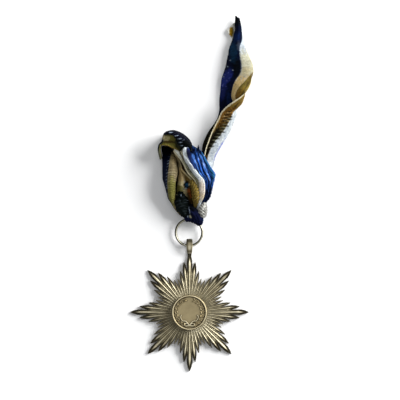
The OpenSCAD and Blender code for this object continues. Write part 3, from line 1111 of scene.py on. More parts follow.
@dataclass
class Ribbon:
    """The striped silk ribbon: its free tail, the crumpled loop, the hood and the knot."""

    foot_z: float = 0.6
    finish: RibbedSilk = field(default_factory=RibbedSilk)

    # Columns: y, then x and z of the blue selvedge, the middle of the blue stripe, the seam from
    # blue to white, the seam from white to gold, the middle of the gold stripe and the gold
    # selvedge, then how far the slanting cut sets the gold selvedge back.
    TAIL_ROWS = (
        (75.2, 18.4, 1.9, 19.3, 2.8, 20.2, 2.1, 19.8, 1.0, 18.6, 0.7, 17.3, 0.9, 3.4),
        (71.8, 18.3, 2.0, 19.5, 3.2, 20.8, 2.3, 20.2, 1.0, 18.2, 0.7, 16.0, 1.1, 1.6),
        (68.9, 18.2, 2.1, 19.7, 3.5, 21.1, 2.6, 20.3, 1.1, 17.8, 0.7, 15.2, 1.2, 0.5),
        (65.0, 17.3, 2.2, 19.3, 3.8, 21.2, 3.4, 21.8, 2.2, 19.6, 0.8, 17.5, 0.8, 0),
        (61.2, 16.1, 2.1, 18.3, 4.1, 20.2, 4.6, 22.8, 3.7, 21.8, 1.8, 19.6, 0.8, 0),
        (57.4, 15.1, 1.9, 17.7, 4.3, 20.6, 5.0, 24.2, 3.9, 23.6, 2.2, 21.0, 0.9, 0),
        (54.0, 14.5, 1.7, 17.3, 4.3, 21.1, 5.2, 25.4, 4.3, 24.9, 2.6, 22.6, 1.0, 0),
        (50.6, 13.4, 1.5, 16.6, 4.1, 20.6, 4.8, 24.9, 5.2, 25.7, 3.9, 24.6, 1.8, 0),
        (47.2, 12.6, 1.3, 15.7, 3.7, 18.4, 4.0, 22.4, 6.4, 24.2, 6.0, 25.0, 4.0, 0),
        (43.9, 12.1, 1.2, 14.8, 3.3, 17.3, 3.3, 19.6, 6.4, 22.2, 7.4, 23.8, 6.0, 0),
        (40.5, 11.9, 1.1, 14.6, 3.0, 17.0, 2.6, 18.4, 5.4, 22.0, 7.0, 20.6, 8.6, 0),
        (37.5, 11.8, 1.0, 15.0, 2.3, 18.6, 2.2, 20.3, 4.2, 20.4, 7.0, 15.9, 7.6, 0),
        (34.5, 11.6, 1.0, 15.2, 1.9, 19.2, 2.4, 17.5, 5.4, 15.6, 5.6, 12.7, 6.4, 0),
        (31.1, 10.5, 1.0, 14.6, 1.5, 18.0, 2.3, 16.1, 4.6, 13.4, 4.0, 11.0, 5.0, 0),
        (26.1, 7.1, 1.2, 11.6, 1.2, 16.0, 1.9, 13.1, 3.8, 10.4, 2.8, 8.4, 4.0, 0),
        (21.0, 4.8, 1.3, 8.8, 1.1, 12.9, 1.7, 9.1, 3.3, 7.9, 2.5, 6.5, 3.5, 0),
        (15.9, 4.1, 1.3, 7.2, 1.1, 10.3, 1.5, 6.9, 2.8, 6.2, 2.3, 5.2, 3.2, 0),
        (10.8, 3.6, 1.3, 6.0, 1.1, 8.9, 1.4, 6.4, 2.5, 5.4, 2.2, 4.5, 2.9, 0),
        (2.3, 3.4, 1.4, 5.0, 1.1, 6.8, 1.6, 5.6, 2.6, 4.7, 2.2, 3.9, 2.6, 0),
        (-5.3, 1.6, 1.6, 2.6, 1.3, 4.2, 1.8, 3.4, 2.6, 2.6, 2.3, 1.8, 2.6, 0),
    )
    # Places along the loop where each of its lines is given
    LOOP_Y = (20, 18, 16, 14, 12, 10, 8, 6, 4, 2, 0, -2, -4, -6.5, -9)
    # Swell of the right and the left half of the loop at those places
    RIGHT_SWELL = (0.8, 0.9, 0.95, 1, 1, 1, 1, 0.98, 0.95, 0.9, 0.84, 0.76, 0.66, 0.5, 0.4)
    LEFT_SWELL = (0.1, 0.15, 0.4, 0.75, 0.92, 0.97, 0.97, 0.95, 0.92, 0.87, 0.8, 0.7, 0.6, 0.46, 0.38)
    # Each line of the loop from its right edge to its left foot: colour, height at full swell, x. The two
    # near-black lines and the umber line are painted shade in the folds.
    LOOP_LINES = (
        (SilkColour.NAVY, 4.6, (0.2, 1.9, 3.4, 4.6, 5.6, 6.9, 8.9, 9.0, 8.6, 8.1, 7.8, 7.0, 5.5, 4.3, 3.6)),
        (SilkColour.BLUE, 5.4, (0.6, 3.6, 5.1, 6.3, 7.3, 8.4, 9.7, 9.4, 9.0, 8.5, 8.2, 7.4, 5.8, 4.6, 3.9)),
        (SilkColour.TEAL, 6.2, (0.4, 3.3, 4.6, 5.8, 6.9, 8.0, 9.1, 8.9, 8.5, 8.1, 7.8, 7.0, 5.5, 4.4, 3.7)),
        (SilkColour.BLUE, 5.5, (0.2, 2.9, 4.1, 5.1, 6.0, 6.6, 7.3, 8.2, 8.1, 7.6, 7.4, 6.7, 5.2, 4.2, 3.5)),
        (SilkColour.SKY, 7.0, (0.0, 2.4, 3.3, 4.3, 5.0, 5.6, 6.4, 7.3, 7.6, 7.1, 6.9, 6.3, 4.9, 3.9, 3.3)),
        (SilkColour.DEEP, 6.1, (-0.2, 1.9, 2.7, 3.6, 4.2, 4.8, 5.6, 6.7, 7.0, 6.7, 6.5, 6.0, 4.7, 3.7, 3.1)),
        (SilkColour.BLUE, 7.6, (-0.4, 1.3, 2.1, 2.9, 3.5, 4.1, 4.9, 6.3, 6.5, 6.4, 6.2, 5.7, 4.5, 3.5, 2.9)),
        (SilkColour.BLUE, 6.9, (-0.5, 0.7, 1.3, 1.9, 2.8, 3.4, 4.3, 5.8, 6.1, 6.1, 5.9, 5.5, 4.3, 3.3, 2.7)),
        (SilkColour.SKY, 8.2, (-0.7, 0.0, 0.2, 0.8, 1.9, 2.7, 3.8, 5.4, 5.8, 5.9, 5.8, 5.3, 4.1, 3.2, 2.6)),
        (SilkColour.NAVY, 7.5, (-1.1, -0.9, -1.0, -0.3, 0.8, 2.0, 3.3, 5.0, 5.6, 5.7, 5.6, 5.1, 3.9, 3.0, 2.4)),
        (SilkColour.WHITE, 9.2, (-1.8, -1.8, -1.7, -0.9, 0.2, 1.5, 2.9, 4.6, 5.2, 5.3, 5.2, 4.7, 3.7, 2.8, 2.2)),
        (SilkColour.WHITE, 9.3, (-3.2, -3.0, -2.5, -1.6, -0.5, 0.9, 2.4, 4.1, 4.7, 4.7, 4.6, 4.2, 3.4, 2.6, 2.0)),
        (SilkColour.WHITE, 9.2, (-6.6, -6.0, -4.2, -2.5, -1.2, 0.1, 1.5, 3.1, 3.8, 3.8, 3.7, 3.5, 3.0, 2.4, 1.8)),
        (SilkColour.SHADE_BLACK, 8.4, (-7.3, -6.8, -5.0, -3.3, -2.0, -0.9, 0.5, 2.3, 2.9, 3.0, 3.0, 2.9, 2.7, 2.1, 1.6)),
        (SilkColour.SAGE, 7.6, (-7.6, -7.1, -5.5, -4.0, -2.8, -1.8, -0.4, 1.5, 2.5, 2.8, 2.8, 2.8, 2.5, 2.0, 1.5)),
        (SilkColour.PEARL, 7.9, (-7.8, -7.4, -5.9, -4.4, -3.1, -2.2, -0.9, 1.0, 2.1, 2.6, 2.7, 2.7, 2.4, 1.9, 1.4)),
        (SilkColour.UMBER, 6.0, (-8.0, -7.6, -6.3, -4.9, -3.8, -3.0, -1.6, 0.5, 1.7, 2.2, 2.4, 2.4, 2.2, 1.8, 1.3)),
        (SilkColour.CREAM, 6.9, (-8.2, -7.8, -6.6, -5.3, -4.6, -4.1, -2.2, -0.1, 1.2, 1.8, 2.1, 2.1, 2.0, 1.6, 1.2)),
        (
            SilkColour.GOLD,
            4.9,
            (-8.3, -7.9, -6.9, -5.6, -5.0, -4.5, -3.0, -1.6, -0.6, -0.2, 0.2, 0.4, 0.6, 0.6, 0.6),
        ),
        (
            SilkColour.CREAM,
            6.0,
            (-8.4, -8.0, -7.1, -5.8, -5.3, -4.9, -4.3, -4.2, -4.3, -4.5, -4.6, -4.4, -4.0, -3.0, -2.0),
        ),
        (
            SilkColour.PITCH,
            3.3,
            (-8.5, -8.1, -7.3, -6.2, -5.8, -5.6, -5.7, -6.2, -6.6, -6.7, -6.6, -6.7, -6.9, -5.9, -4.2),
        ),
        (
            SilkColour.BEIGE,
            6.6,
            (-8.6, -8.2, -7.6, -6.8, -6.5, -6.3, -6.5, -7.0, -7.3, -7.4, -7.4, -7.4, -7.4, -6.2, -4.4),
        ),
        (
            SilkColour.BEIGE,
            7.8,
            (-8.8, -8.4, -8.1, -7.9, -7.9, -7.9, -8.2, -8.6, -8.7, -8.7, -8.6, -8.3, -7.8, -6.5, -4.6),
        ),
        (
            SilkColour.BEIGE,
            7.3,
            (-9.0, -8.7, -8.5, -8.9, -9.1, -9.3, -9.6, -9.7, -9.8, -9.7, -9.6, -9.3, -8.2, -6.8, -4.7),
        ),
        (
            SilkColour.NAVY,
            6.9,
            (-9.4, -9.2, -9.0, -9.3, -9.5, -9.8, -10.1, -10.2, -10.2, -10.1, -9.9, -9.5, -8.4, -6.9, -4.8),
        ),
        (
            SilkColour.NAVY,
            3.4,
            (-12.4, -12.4, -12.2, -12.2, -12.2, -12.2, -12.2,
             -12.1, -11.5, -10.9, -10.4, -9.9, -8.6, -7.1, -5.0),
        ),
        (
            SilkColour.NAVY,
            0.6,
            (-12.0, -12.0, -11.8, -11.6, -11.6, -11.6, -11.6,
             -11.5, -11.0, -10.5, -10.1, -9.6, -8.4, -7.0, -4.9),
        ),
    )
    FIRST_LEFT_LINE = 18
    # Lines whose stripe doesn't end halfway to the next line
    STRIPE_ENDS = {10: 10.4, 12: 12.6, 13: 12.85, 14: 14.7, 15: 15.35, 16: 16.75, 17: 17.3, 20: 20.3}
    # Dyes whose stripes pass softly into their neighbours, how softly, and how softly the others do
    GRADED = (SilkColour.SKY, SilkColour.BLUE, SilkColour.DEEP, SilkColour.TEAL)
    STRIPE_SOFT = (0.4, 0.12)
    # How far down the right edge of the loop comes at those places
    EDGE_DROP = (0, 0, 0, 0, 0, 0, 0.3, 0.8, 1, 1, 1, 1, 1, 1, 1)
    # Share of its height that each line of the right edge keeps where it is down
    EDGE_KEPT = (0.0, 0.5)
    # Columns: x and y of the outline, x, y and z of the crest, of the seam, of the valley and of the lip
    HOOD_ROWS = (
        (0.7, 17.2, 0.2, 17.5, 8.8, -0.2, 17.8, 8.9, -0.3, 17.9, 8.8, -0.5, 18.0, 8.5),
        (0.45, 19.2, -0.5, 19.2, 9.8, -1.2, 19.6, 9.9, -1.4, 19.6, 9.7, -1.6, 19.6, 9.3),
        (-0.4, 21.6, -1.9, 20.9, 10.8, -3.4, 20.0, 10.6, -3.7, 19.5, 10.2, -3.9, 19.0, 9.6),
        (-2.0, 23.8, -3.2, 22.3, 11.4, -5.3, 20.1, 10.7, -5.0, 18.9, 9.9, -4.7, 17.8, 9.6),
        (-4.3, 25.5, -5.0, 23.8, 11.5, -6.3, 21.6, 10.9, -6.3, 19.9, 9.9, -6.2, 18.3, 9.6),
        (-7.0, 26.4, -7.2, 25.0, 11.4, -7.2, 23.8, 11.0, -7.9, 21.3, 9.7, -8.0, 19.0, 9.5),
        (-9.5, 26.3, -9.3, 25.2, 11.0, -9.0, 24.6, 10.7, -9.7, 21.8, 9.3, -9.7, 19.9, 9.6),
        (-11.4, 25.4, -11.1, 24.9, 10.4, -10.9, 24.5, 10.2, -11.4, 21.9, 9.0, -11.3, 20.2, 9.4),
        (-12.2, 23.4, -11.9, 23.3, 9.8, -11.8, 23.0, 9.8, -12.2, 21.7, 8.7, -12.3, 20.2, 9.1),
        (-12.5, 21.9, -12.4, 21.7, 9.1, -12.5, 21.4, 9.1, -12.7, 21.0, 8.7, -12.7, 20.0, 8.7),
        (-13.7, 20.3, -13.5, 20.2, 8.9, -13.4, 20.1, 8.9, -13.2, 19.9, 8.8, -12.9, 19.5, 8.3),
        (-14.1, 18.4, -13.8, 18.4, 8.0, -13.7, 18.4, 8.0, -13.5, 18.3, 7.8, -13.1, 18.3, 7.3),
        (-13.9, 16.6, -13.6, 16.7, 6.7, -13.5, 16.7, 6.7, -13.3, 16.8, 6.5, -12.9, 16.9, 6.0),
        (-13.3, 14.3, -13.0, 14.6, 4.7, -12.9, 14.7, 4.7, -12.8, 14.8, 4.6, -12.5, 15.0, 4.2),
    )
    # How far the hood's foot is tucked in, how far in its shoulder lies from the outline to the
    # crest, and the shares of the crest's height at the outline and at the shoulder
    HOOD_TUCK = 0.9
    HOOD_SHOULDER = 0.35
    HOOD_SIDES = (0.45, 0.82)
    # How far the ends of a fold run on, how thin they get, and the degrees that its arch turns
    FOLD_OVERRUN = 0.25
    FOLD_TAPER = 0.45
    FOLD_TURNS = (-50, 230)
    FOLD_KNOTS = 9
    # Columns: x, y, z and radius of a fold that is gathered near the ring
    BULGE = (
        (-4.5, 1.0, 3.4, 1.2),
        (-4.3, -1.0, 4.2, 2.2),
        (-4.1, -4.0, 4.2, 2.8),
        (-3.6, -6.6, 3.7, 2.4),
        (-2.6, -9.0, 3.0, 1.7),
    )
    PALE_GATHER = (
        (5.2, -3.2, 3.2, 0.8),
        (4.9, -4.8, 4.0, 1.5),
        (4.5, -6.6, 4.4, 2.1),
        (4.5, -8.2, 4.0, 2.1),
        (4.8, -9.6, 3.2, 1.4),
    )
    GOLD_TWIST = (
        (0.1, 5.2, 6.6, 0.8),
        (0.9, 3.6, 7.3, 1.25),
        (1.5, 1.8, 7.4, 1.55),
        (1.8, 0.0, 7.1, 1.65),
        (1.9, -1.8, 6.5, 1.6),
        (2.1, -3.6, 5.6, 1.3),
        (1.7, -5.4, 4.6, 0.8),
    )
    KNOT_HEART = (
        (-1.2, -6.0, 3.2, 1.5),
        (0.3, -6.9, 3.8, 1.9),
        (1.6, -8.3, 4.0, 2.1),
        (2.7, -9.7, 3.8, 2.1),
        (3.7, -10.7, 3.2, 1.9),
    )
    FINGER = (
        (-2.2, 19.0, 10.1, 0.95),
        (-2.2, 17.8, 9.8, 1.35),
        (-1.8, 15.8, 9.3, 1.45),
        (-0.8, 13.6, 8.8, 1.3),
        (0.4, 11.6, 8.5, 1.0),
        (1.4, 10.0, 8.3, 0.7),
    )
    # Columns: angle on the ring, distance from its middle, height above the wire's middle and radius
    WRAPS = (
        (106, 5.9, 0.1, 1.1),
        (94, 6.1, 0.35, 1.5),
        (78, 6.3, 0.5, 1.9),
        (62, 6.5, 0.5, 2.0),
        (48, 6.6, 0.4, 1.8),
        (38, 5.7, 0.1, 1.1),
    )
    # Columns: how far a row below the tips of the fray is set to the right, its y, and its first and
    # last height
    FRAY_ROWS = (
        (1.2, 11.6, 5.6, 3.6),
        (0.0, 15.6, 7.6, 5.2),
    )
    FRAY_HEIGHTS = (8.4, 5.8)
    # Columns: x of a notch or a tip of the fray, and how far up it goes
    FRAY = (
        (-0.5, 16.8),
        (0.2, 18.5),
        (0.6, 17.0),
        (1.2, 19.3),
        (1.7, 17.2),
        (2.3, 17.5),
        (2.9, 20.5),
        (3.4, 17.4),
        (3.9, 18.0),
        (4.5, 15.6),
    )

    # Columns: x and y of the lighter specks on the navy stripe
    SPECKS = (
        (14.4, 51.8),
        (15.6, 50.9),
        (14.3, 50.2),
        (16.0, 48.7),
        (13.9, 48.6),
        (14.9, 47.9),
        (13.5, 46.2),
        (14.7, 45.2),
        (13.0, 43.9),
    )
    # Columns: x, y and half-length of the teeth of painted shade along the seam from white to gold
    TEETH = (
        (16.7, 32.4, 0.8),
        (16.2, 31.3, 1.3),
        (15.2, 29.9, 0.9),
        (14.8, 28.5, 1.5),
        (13.7, 27.3, 0.9),
        (13.1, 25.9, 1.4),
        (11.9, 24.6, 1.0),
        (10.9, 23.2, 1.4),
        (9.9, 21.6, 0.9),
        (9.0, 20.0, 1.1),
    )

    def tail(self) -> SilkSheet:
        """Shapes the free tail, with its half twist."""
        navy, white, gold = (-1.0, 1.97), (2.0, 3.0), (3.0, 4.76)
        rows = [
            [(row[1 + 2 * j], row[0] - row[13] * j / 5, row[2 + 2 * j]) for j in range(6)]
            for row in self.TAIL_ROWS
        ]
        return SilkSheet(
            "ribbon_tail",
            np.array(rows),
            (420, 64),
            [
                Stripe(1.97, SilkColour.NAVY),
                Stripe(2.03, SilkColour.STEEL),
                Stripe(3.0, SilkColour.WHITE),
                Stripe(4.78, SilkColour.GOLD),
                Stripe(9, SilkColour.PEARL),
            ],
            flat=(0.016, 0.088),
            spots=[
                Spot(16.8, 69.2, 3.0, 4.6, SilkColour.PEARL, 1.0, columns=(2.2, 9)),
                # Painted light on the border's shaded side, snow-white over the cream
                Spot(16.8, 69.2, 3.0, 4.6, SilkColour.SNOW, 0.5, columns=(2.2, 9)),
                Spot(16.7, 68.5, 0.85, 2.2, SilkColour.OCHRE, 1.0, 0.3, columns=(2.2, 9)),
                Spot(17.6, 68.0, 0.4, 1.6, SilkColour.OLIVE, 0.7, 0.6, columns=(2.2, 9)),
                *spots(
                    white,
                    (20.7, 63.0, 3.0, 3.2, SilkColour.STEEL, 0.3, 1.0),
                    (23.8, 55.0, 6.0, 5.0, SilkColour.IVORY, 0.9, 0.9),
                    (23.4, 50.6, 4.0, 2.6, SilkColour.CREAM, 0.7, 0.9),
                    (19.8, 43.6, 9.0, 5.4, SilkColour.SAND, 1.0, 0.5),
                ),
                Spot(22.6, 45.6, 5.0, 4.0, SilkColour.OLIVE, 0.5, 0.9, lean=0.7, columns=gold),
                Spot(25.0, 56.0, 2.4, 5.6, SilkColour.IVORY, 0.9, 0.6, columns=(2.9, 3.8)),
                *spots(
                    gold,
                    (24.4, 48.0, 0.6, 3.4, SilkColour.UMBER, 0.5, 0.9, 0.5),
                    (22.6, 44.4, 0.4, 3.0, SilkColour.UMBER, 0.45, 0.9, 0.6),
                    (21.0, 42.6, 0.4, 2.2, SilkColour.OCHRE, 0.5, 0.9, 0.6),
                    (18.6, 41.0, 1.8, 3.0, SilkColour.AMBER, 0.5, 0.8, 0.7),
                    (16.0, 36.6, 2.0, 0.8, SilkColour.OLIVE, 1.0, 0.7, 0.4),
                    (18.3, 36.6, 0.5, 1.8, SilkColour.UMBER, 0.9, 0.7, 0.9),
                    (14.2, 33.0, 2.8, 4.4, SilkColour.AMBER, 0.7, 0.8, 0.5),
                    # Dark and light strokes across the ribs of the gold: painted shade and painted highlights
                    (15.9, 34.6, 1.2, 0.3, SilkColour.UMBER, 0.95, 0.5),
                    (15.0, 33.2, 1.3, 0.3, SilkColour.UMBER, 0.95, 0.5),
                    (14.2, 31.9, 1.3, 0.3, SilkColour.UMBER, 0.95, 0.5),
                    (13.6, 30.6, 1.3, 0.3, SilkColour.PITCH, 0.95, 0.5),
                    (15.4, 34.0, 1.1, 0.25, SilkColour.TAN, 0.6, 0.5),
                    (14.5, 32.6, 1.2, 0.25, SilkColour.TAN, 0.6, 0.5),
                    (13.8, 31.3, 1.2, 0.25, SilkColour.TAN, 0.5, 0.5),
                    # The trough between the tail's layers, painted near black as shade
                    (8.8, 22.0, 2.6, 7.6, SilkColour.PITCH, 0.95, 0.6, 0.5),
                ),
                *spots(
                    navy,
                    (14.9, 49.2, 2.0, 3.6, SilkColour.IRIS, 0.7, 0.5, 0.4),
                    (13.2, 44.0, 1.5, 4.4, SilkColour.IRIS, 0.4, 0.8, 0.1),
                    (15.8, 40.0, 1.0, 2.6, SilkColour.DEEP, 0.4, 0.9),
                    (18.9, 52.6, 1.7, 4.6, SilkColour.PITCH, 0.85, 0.8),
                ),
                Spot(19.4, 74.4, 2.8, 3.6, SilkColour.PITCH, 0.85, 0.8),
                *spots(
                    navy,
                    (19.2, 66.0, 1.3, 2.0, SilkColour.DEEP, 0.4, 1.0),
                    (17.6, 60.0, 1.5, 4.0, SilkColour.TEAL, 0.35, 1.0),
                    (19.8, 62.4, 0.7, 2.0, SilkColour.STEEL, 0.12, 1.0),
                    (16.4, 56.2, 0.3, 0.3, SilkColour.STEEL, 0.5, 0.8),
                    (15.3, 53.6, 0.35, 0.3, SilkColour.STEEL, 0.7, 0.8),
                    (17.4, 52.0, 0.35, 0.25, SilkColour.STEEL, 0.6, 0.8),
                    (13.6, 49.4, 0.25, 0.3, SilkColour.STEEL, 0.5, 0.8),
                    (15.0, 47.6, 0.25, 0.3, SilkColour.VIOLET, 0.6, 0.8),
                    (13.2, 45.6, 0.25, 0.3, SilkColour.VIOLET, 0.6, 0.8),
                    # The lower layer under the tail's edge, painted dark as shade
                    (7.0, 24.5, 2.0, 6.5, SilkColour.SHADE_BLACK, 0.9, 0.6, 0.5),
                ),
                Spot(11.6, 29.8, 0.7, 4.0, SilkColour.TAN, 0.7, 0.8, lean=0.7, columns=(4.7, 9)),
                Spot(11.6, 18.4, 0.6, 4.2, SilkColour.VIOLET, 0.75, 0.8, lean=0.52, columns=(1.7, 2.4)),
                # Teeth of painted shade along the seam from white to gold
                *spots(
                    (2.2, 3.4),
                    *((x - 0.2, y, long * 0.8, 0.36, SilkColour.SHADE_BLACK, 0.85, 0.8) for x, y, long in self.TEETH),
                ),
                # Beside each tooth, a painted highlight on the gold
                *spots(
                    gold,
                    *((x - 1.2, y - 0.7, long, 0.22, SilkColour.SAGE, 0.6, 0.6) for x, y, long in self.TEETH),
                ),
                *spots(navy, *((x, y, 0.3, 0.16, SilkColour.VIOLET, 0.45, 1.0, 0.8) for x, y in self.SPECKS)),
            ],
            ribs=[
                Ribs(1.25, 0.35, (2.9, 5.2), slant=0.5, stretch=(42, 120)),
                Ribs(1.2, 0.06, (2.05, 2.95), slant=1.0, crest_paint=0.9, stretch=(44, 120)),
                Ribs(1.2, 0.06, (2.05, 2.95), slant=-1.0, crest_paint=0.9, stretch=(44, 120)),
            ],
            creases=[Creases(3.0, 9.0, 0.35, (-1.0, 1.9)), Creases(0.8, 1.6, 0.06, (2.0, 3.0), shade=0.4)],
            seed=3,
        )

    def loop(self) -> SilkSheet:
        """Shapes the crumpled loop from under the hood to the knot."""
        blue, white = (-1.0, 9.5), (9.6, 12.6)
        columns = []
        for k, (_, height, places) in enumerate(self.LOOP_LINES):
            swell = np.array(self.LEFT_SWELL if k >= self.FIRST_LEFT_LINE else self.RIGHT_SWELL)
            z = self.foot_z + (height - self.foot_z) * swell
            if k < len(self.EDGE_KEPT):
                low = self.foot_z + (height - self.foot_z) * self.EDGE_KEPT[k]
                z = z + (low - z) * np.array(self.EDGE_DROP)
            columns.append(np.stack([np.array(places), np.array(self.LOOP_Y, float), z], axis=-1))
        hues = [line[0] for line in self.LOOP_LINES]
        soft, crisp = self.STRIPE_SOFT
        ends = [self.STRIPE_ENDS.get(k, k + 0.5) for k in range(len(hues))]
        stripes = [Stripe(end, dye, soft if dye in self.GRADED else crisp) for end, dye in zip(ends, hues)]
        return SilkSheet(
            "ribbon_loop",
            np.stack(columns, axis=1),
            (170, 240),
            stripes,
            flat=(0.016, 0.110),
            held="gathered",
            spots=[
                *spots(
                    blue,
                    (7.6, 3.4, 4.0, 2.6, SilkColour.DEEP, 0.8, 1.0),
                    (6.6, -3.0, 5.0, 5.4, SilkColour.NAVY, 0.97, 0.7),
                    (1.6, 18.2, 2.6, 2.0, SilkColour.NAVY, 0.75, 0.8),
                    # Light streaks along the blue pleats: painted highlights
                    (-0.4, 15.0, 0.3, 2.2, SilkColour.STEEL, 0.4, 0.8, -0.6),
                    (2.2, 12.8, 0.25, 2.0, SilkColour.STEEL, 0.5, 0.8, -0.62),
                    (4.0, 13.2, 0.25, 1.8, SilkColour.STEEL, 0.4, 0.8, -0.8),
                    (6.2, 11.0, 0.25, 2.0, SilkColour.STEEL, 0.35, 0.8, -0.75),
                    (6.9, 6.8, 0.3, 1.8, SilkColour.STEEL, 0.35, 0.8, -0.4),
                ),
                Spot(-5.4, 16.9, 3.4, 3.0, SilkColour.PEARL, 1.0, 0.6, columns=(10.4, 15)),
                # A dark gap of painted shade, then painted light on the cream strip's shaded side
                Spot(-4.2, 16.0, 0.36, 2.6, SilkColour.UMBER, 0.9, 0.5, lean=-0.55, columns=(11.0, 13.2)),
                Spot(-5.9, 17.3, 0.7, 2.6, SilkColour.SNOW, 0.5, 0.8, lean=-0.6, columns=(11.0, 15)),
                Spot(4.0, 1.4, 2.4, 3.8, SilkColour.SHELL, 0.9, 1.0, columns=white),
                Spot(4.0, -1.6, 2.0, 1.6, SilkColour.TAN, 0.5, 1.0, columns=white),
                Spot(-7.0, 15.2, 1.8, 2.6, SilkColour.TAN, 0.6, 0.8, columns=(15.4, 24)),
                # A dark line of painted shade along a crease
                Spot(-4.6, 9.4, 0.35, 4.2, SilkColour.UMBER, 0.6, 0.8, lean=-0.5, columns=(16.2, 19.3)),
                Spot(-5.0, 13.0, 1.6, 3.0, SilkColour.UMBER, 0.5, 0.7, lean=-0.6, columns=(15.3, 19.3)),
                Spot(-4.4, 8.0, 1.4, 3.4, SilkColour.TAN, 0.9, 0.7, columns=(16.7, 19.7)),
                Spot(-4.9, 1.6, 1.5, 1.8, SilkColour.OLIVE, 0.9, columns=(17, 20.3)),
                Spot(-8.4, 0.6, 1.9, 6.4, SilkColour.MOSS, 0.9, 0.9, columns=(20.3, 23.5)),
                Spot(-7.4, 18.6, 2.2, 2.0, SilkColour.UMBER, 0.8, 0.7, columns=(16, 25)),
                # Brown and orange-brown: the gold beside the twist in painted shade
                Spot(-0.5, -0.8, 1.4, 3.8, SilkColour.UMBER, 0.95, 0.6),
                Spot(-1.1, 0.9, 0.7, 1.5, SilkColour.SHADED_GOLD, 1.0, 0.6, lean=-0.3),
                Spot(-0.9, 0.2, 0.5, 0.3, SilkColour.UMBER, 0.8, 0.5),
                Spot(-0.4, -1.4, 0.4, 0.6, SilkColour.SHADED_GOLD, 0.7, 0.6),
                Spot(-2.2, 3.5, 1.35, 1.7, SilkColour.PITCH, 1.0, 0.3),
                Spot(-1.9, 3.6, 0.7, 0.8, SilkColour.TEAL, 1.0, 0.5),
                # Small painted highlights round the blue spot
                Spot(-3.1, 5.0, 0.3, 0.4, SilkColour.STEEL, 0.8, 0.4),
                Spot(-1.0, 3.8, 0.3, 0.5, SilkColour.CREAM, 1.0, 0.4),
                Spot(-2.4, 2.2, 0.45, 0.35, SilkColour.STEEL, 1.0, 0.4),
                Spot(-3.4, 2.0, 0.5, 0.5, SilkColour.SAGE, 0.9, 0.5),
                # Painted shade in the mouth under the hood
                Spot(-10.8, 18.4, 3.2, 2.6, SilkColour.PITCH, 1.0, 0.3),
                Spot(-2.0, -6.4, 4.5, 3.0, SilkColour.PITCH, 0.9),
            ],
            ribs=[
                Ribs(0.95, 0.22, (20.6, 23.4), crest_paint=0.4, crest_hue=SilkColour.IVORY),
                Ribs(1.3, 0.1, (23.7, 24.3), soft=0.2, crest_paint=0.8),
                Ribs(0.9, 0.04),
            ],
            creases=[
                Creases(0.6, 5.0, 0.3, (-1, 9.5), shade=0.8),
                Creases(0.7, 12.0, 0.15, (9.5, 13.0), shade=0.5),
                Creases(0.5, 1.2, 0.12, (12.6, 14.7), shade=1.4),
            ],
            streaks=(-1, 9.7),
            crisp=0.35,
            seed=5,
        )

    def hood(self) -> SilkSheet:
        """Shapes the hood over the top of the loop, round to the rim of the hollow mouth."""
        ridge = (2.5, 4.4)
        rows = []
        for row in self.HOOD_ROWS:
            outline = np.array(row[:2])
            crest, seam, valley, lip = (np.array(row[k : k + 3]) for k in (2, 5, 8, 11))
            inward = (lip[:2] - outline) / np.linalg.norm(lip[:2] - outline)
            shoulder = outline + (crest[:2] - outline) * self.HOOD_SHOULDER
            rows.append(
                [
                    (*(outline + inward * self.HOOD_TUCK), self.foot_z),
                    (*outline, crest[2] * self.HOOD_SIDES[0]),
                    (*shoulder, crest[2] * self.HOOD_SIDES[1]),
                    crest,
                    seam,
                    valley,
                    lip,
                ]
            )
        return SilkSheet(
            "ribbon_hood",
            np.array(rows),
            (280, 80),
            [Stripe(4.0, SilkColour.CROW), Stripe(5.85, SilkColour.OLIVE, 0.3), Stripe(9, SilkColour.STRAW)],
            flat=(0.012, 0.044),
            held="gathered",
            spots=[
                Spot(-2.6, 19.6, 2.6, 2.6, SilkColour.PITCH, 1.0),
                # Short light dashes on the crest: painted highlights
                *spots(
                    ridge,
                    (-8.6, 25.5, 0.9, 0.2, SilkColour.STEEL, 0.9, 0.7, 0.6),
                    (-6.2, 24.2, 0.8, 0.22, SilkColour.STEEL, 0.9, 0.7, -0.4),
                    (-5.0, 22.9, 0.9, 0.24, SilkColour.STEEL, 1.0, 0.7, -0.3),
                    (-4.6, 21.4, 0.8, 0.22, SilkColour.STEEL, 1.0, 0.7, -0.2),
                    (-4.3, 20.1, 0.8, 0.2, SilkColour.STEEL, 0.9, 0.7),
                ),
                Spot(-5.6, 20.4, 1.3, 3.4, SilkColour.BOTTLE, 0.85, 0.8, lean=-0.3),
                Spot(-10.8, 23.2, 1.5, 1.2, SilkColour.CREAM, 0.6, 0.8),
                Spot(-9.6, 21.6, 2.6, 0.6, SilkColour.UMBER, 0.85, 0.6),
                Spot(-13.2, 17.0, 0.9, 2.8, SilkColour.SAGE, 0.6),
            ],
            ribs=[Ribs(1.6, 0.3, (2.6, 4.1), crest_paint=0.4), Ribs(0.9, 0.05)],
            seed=7,
        )

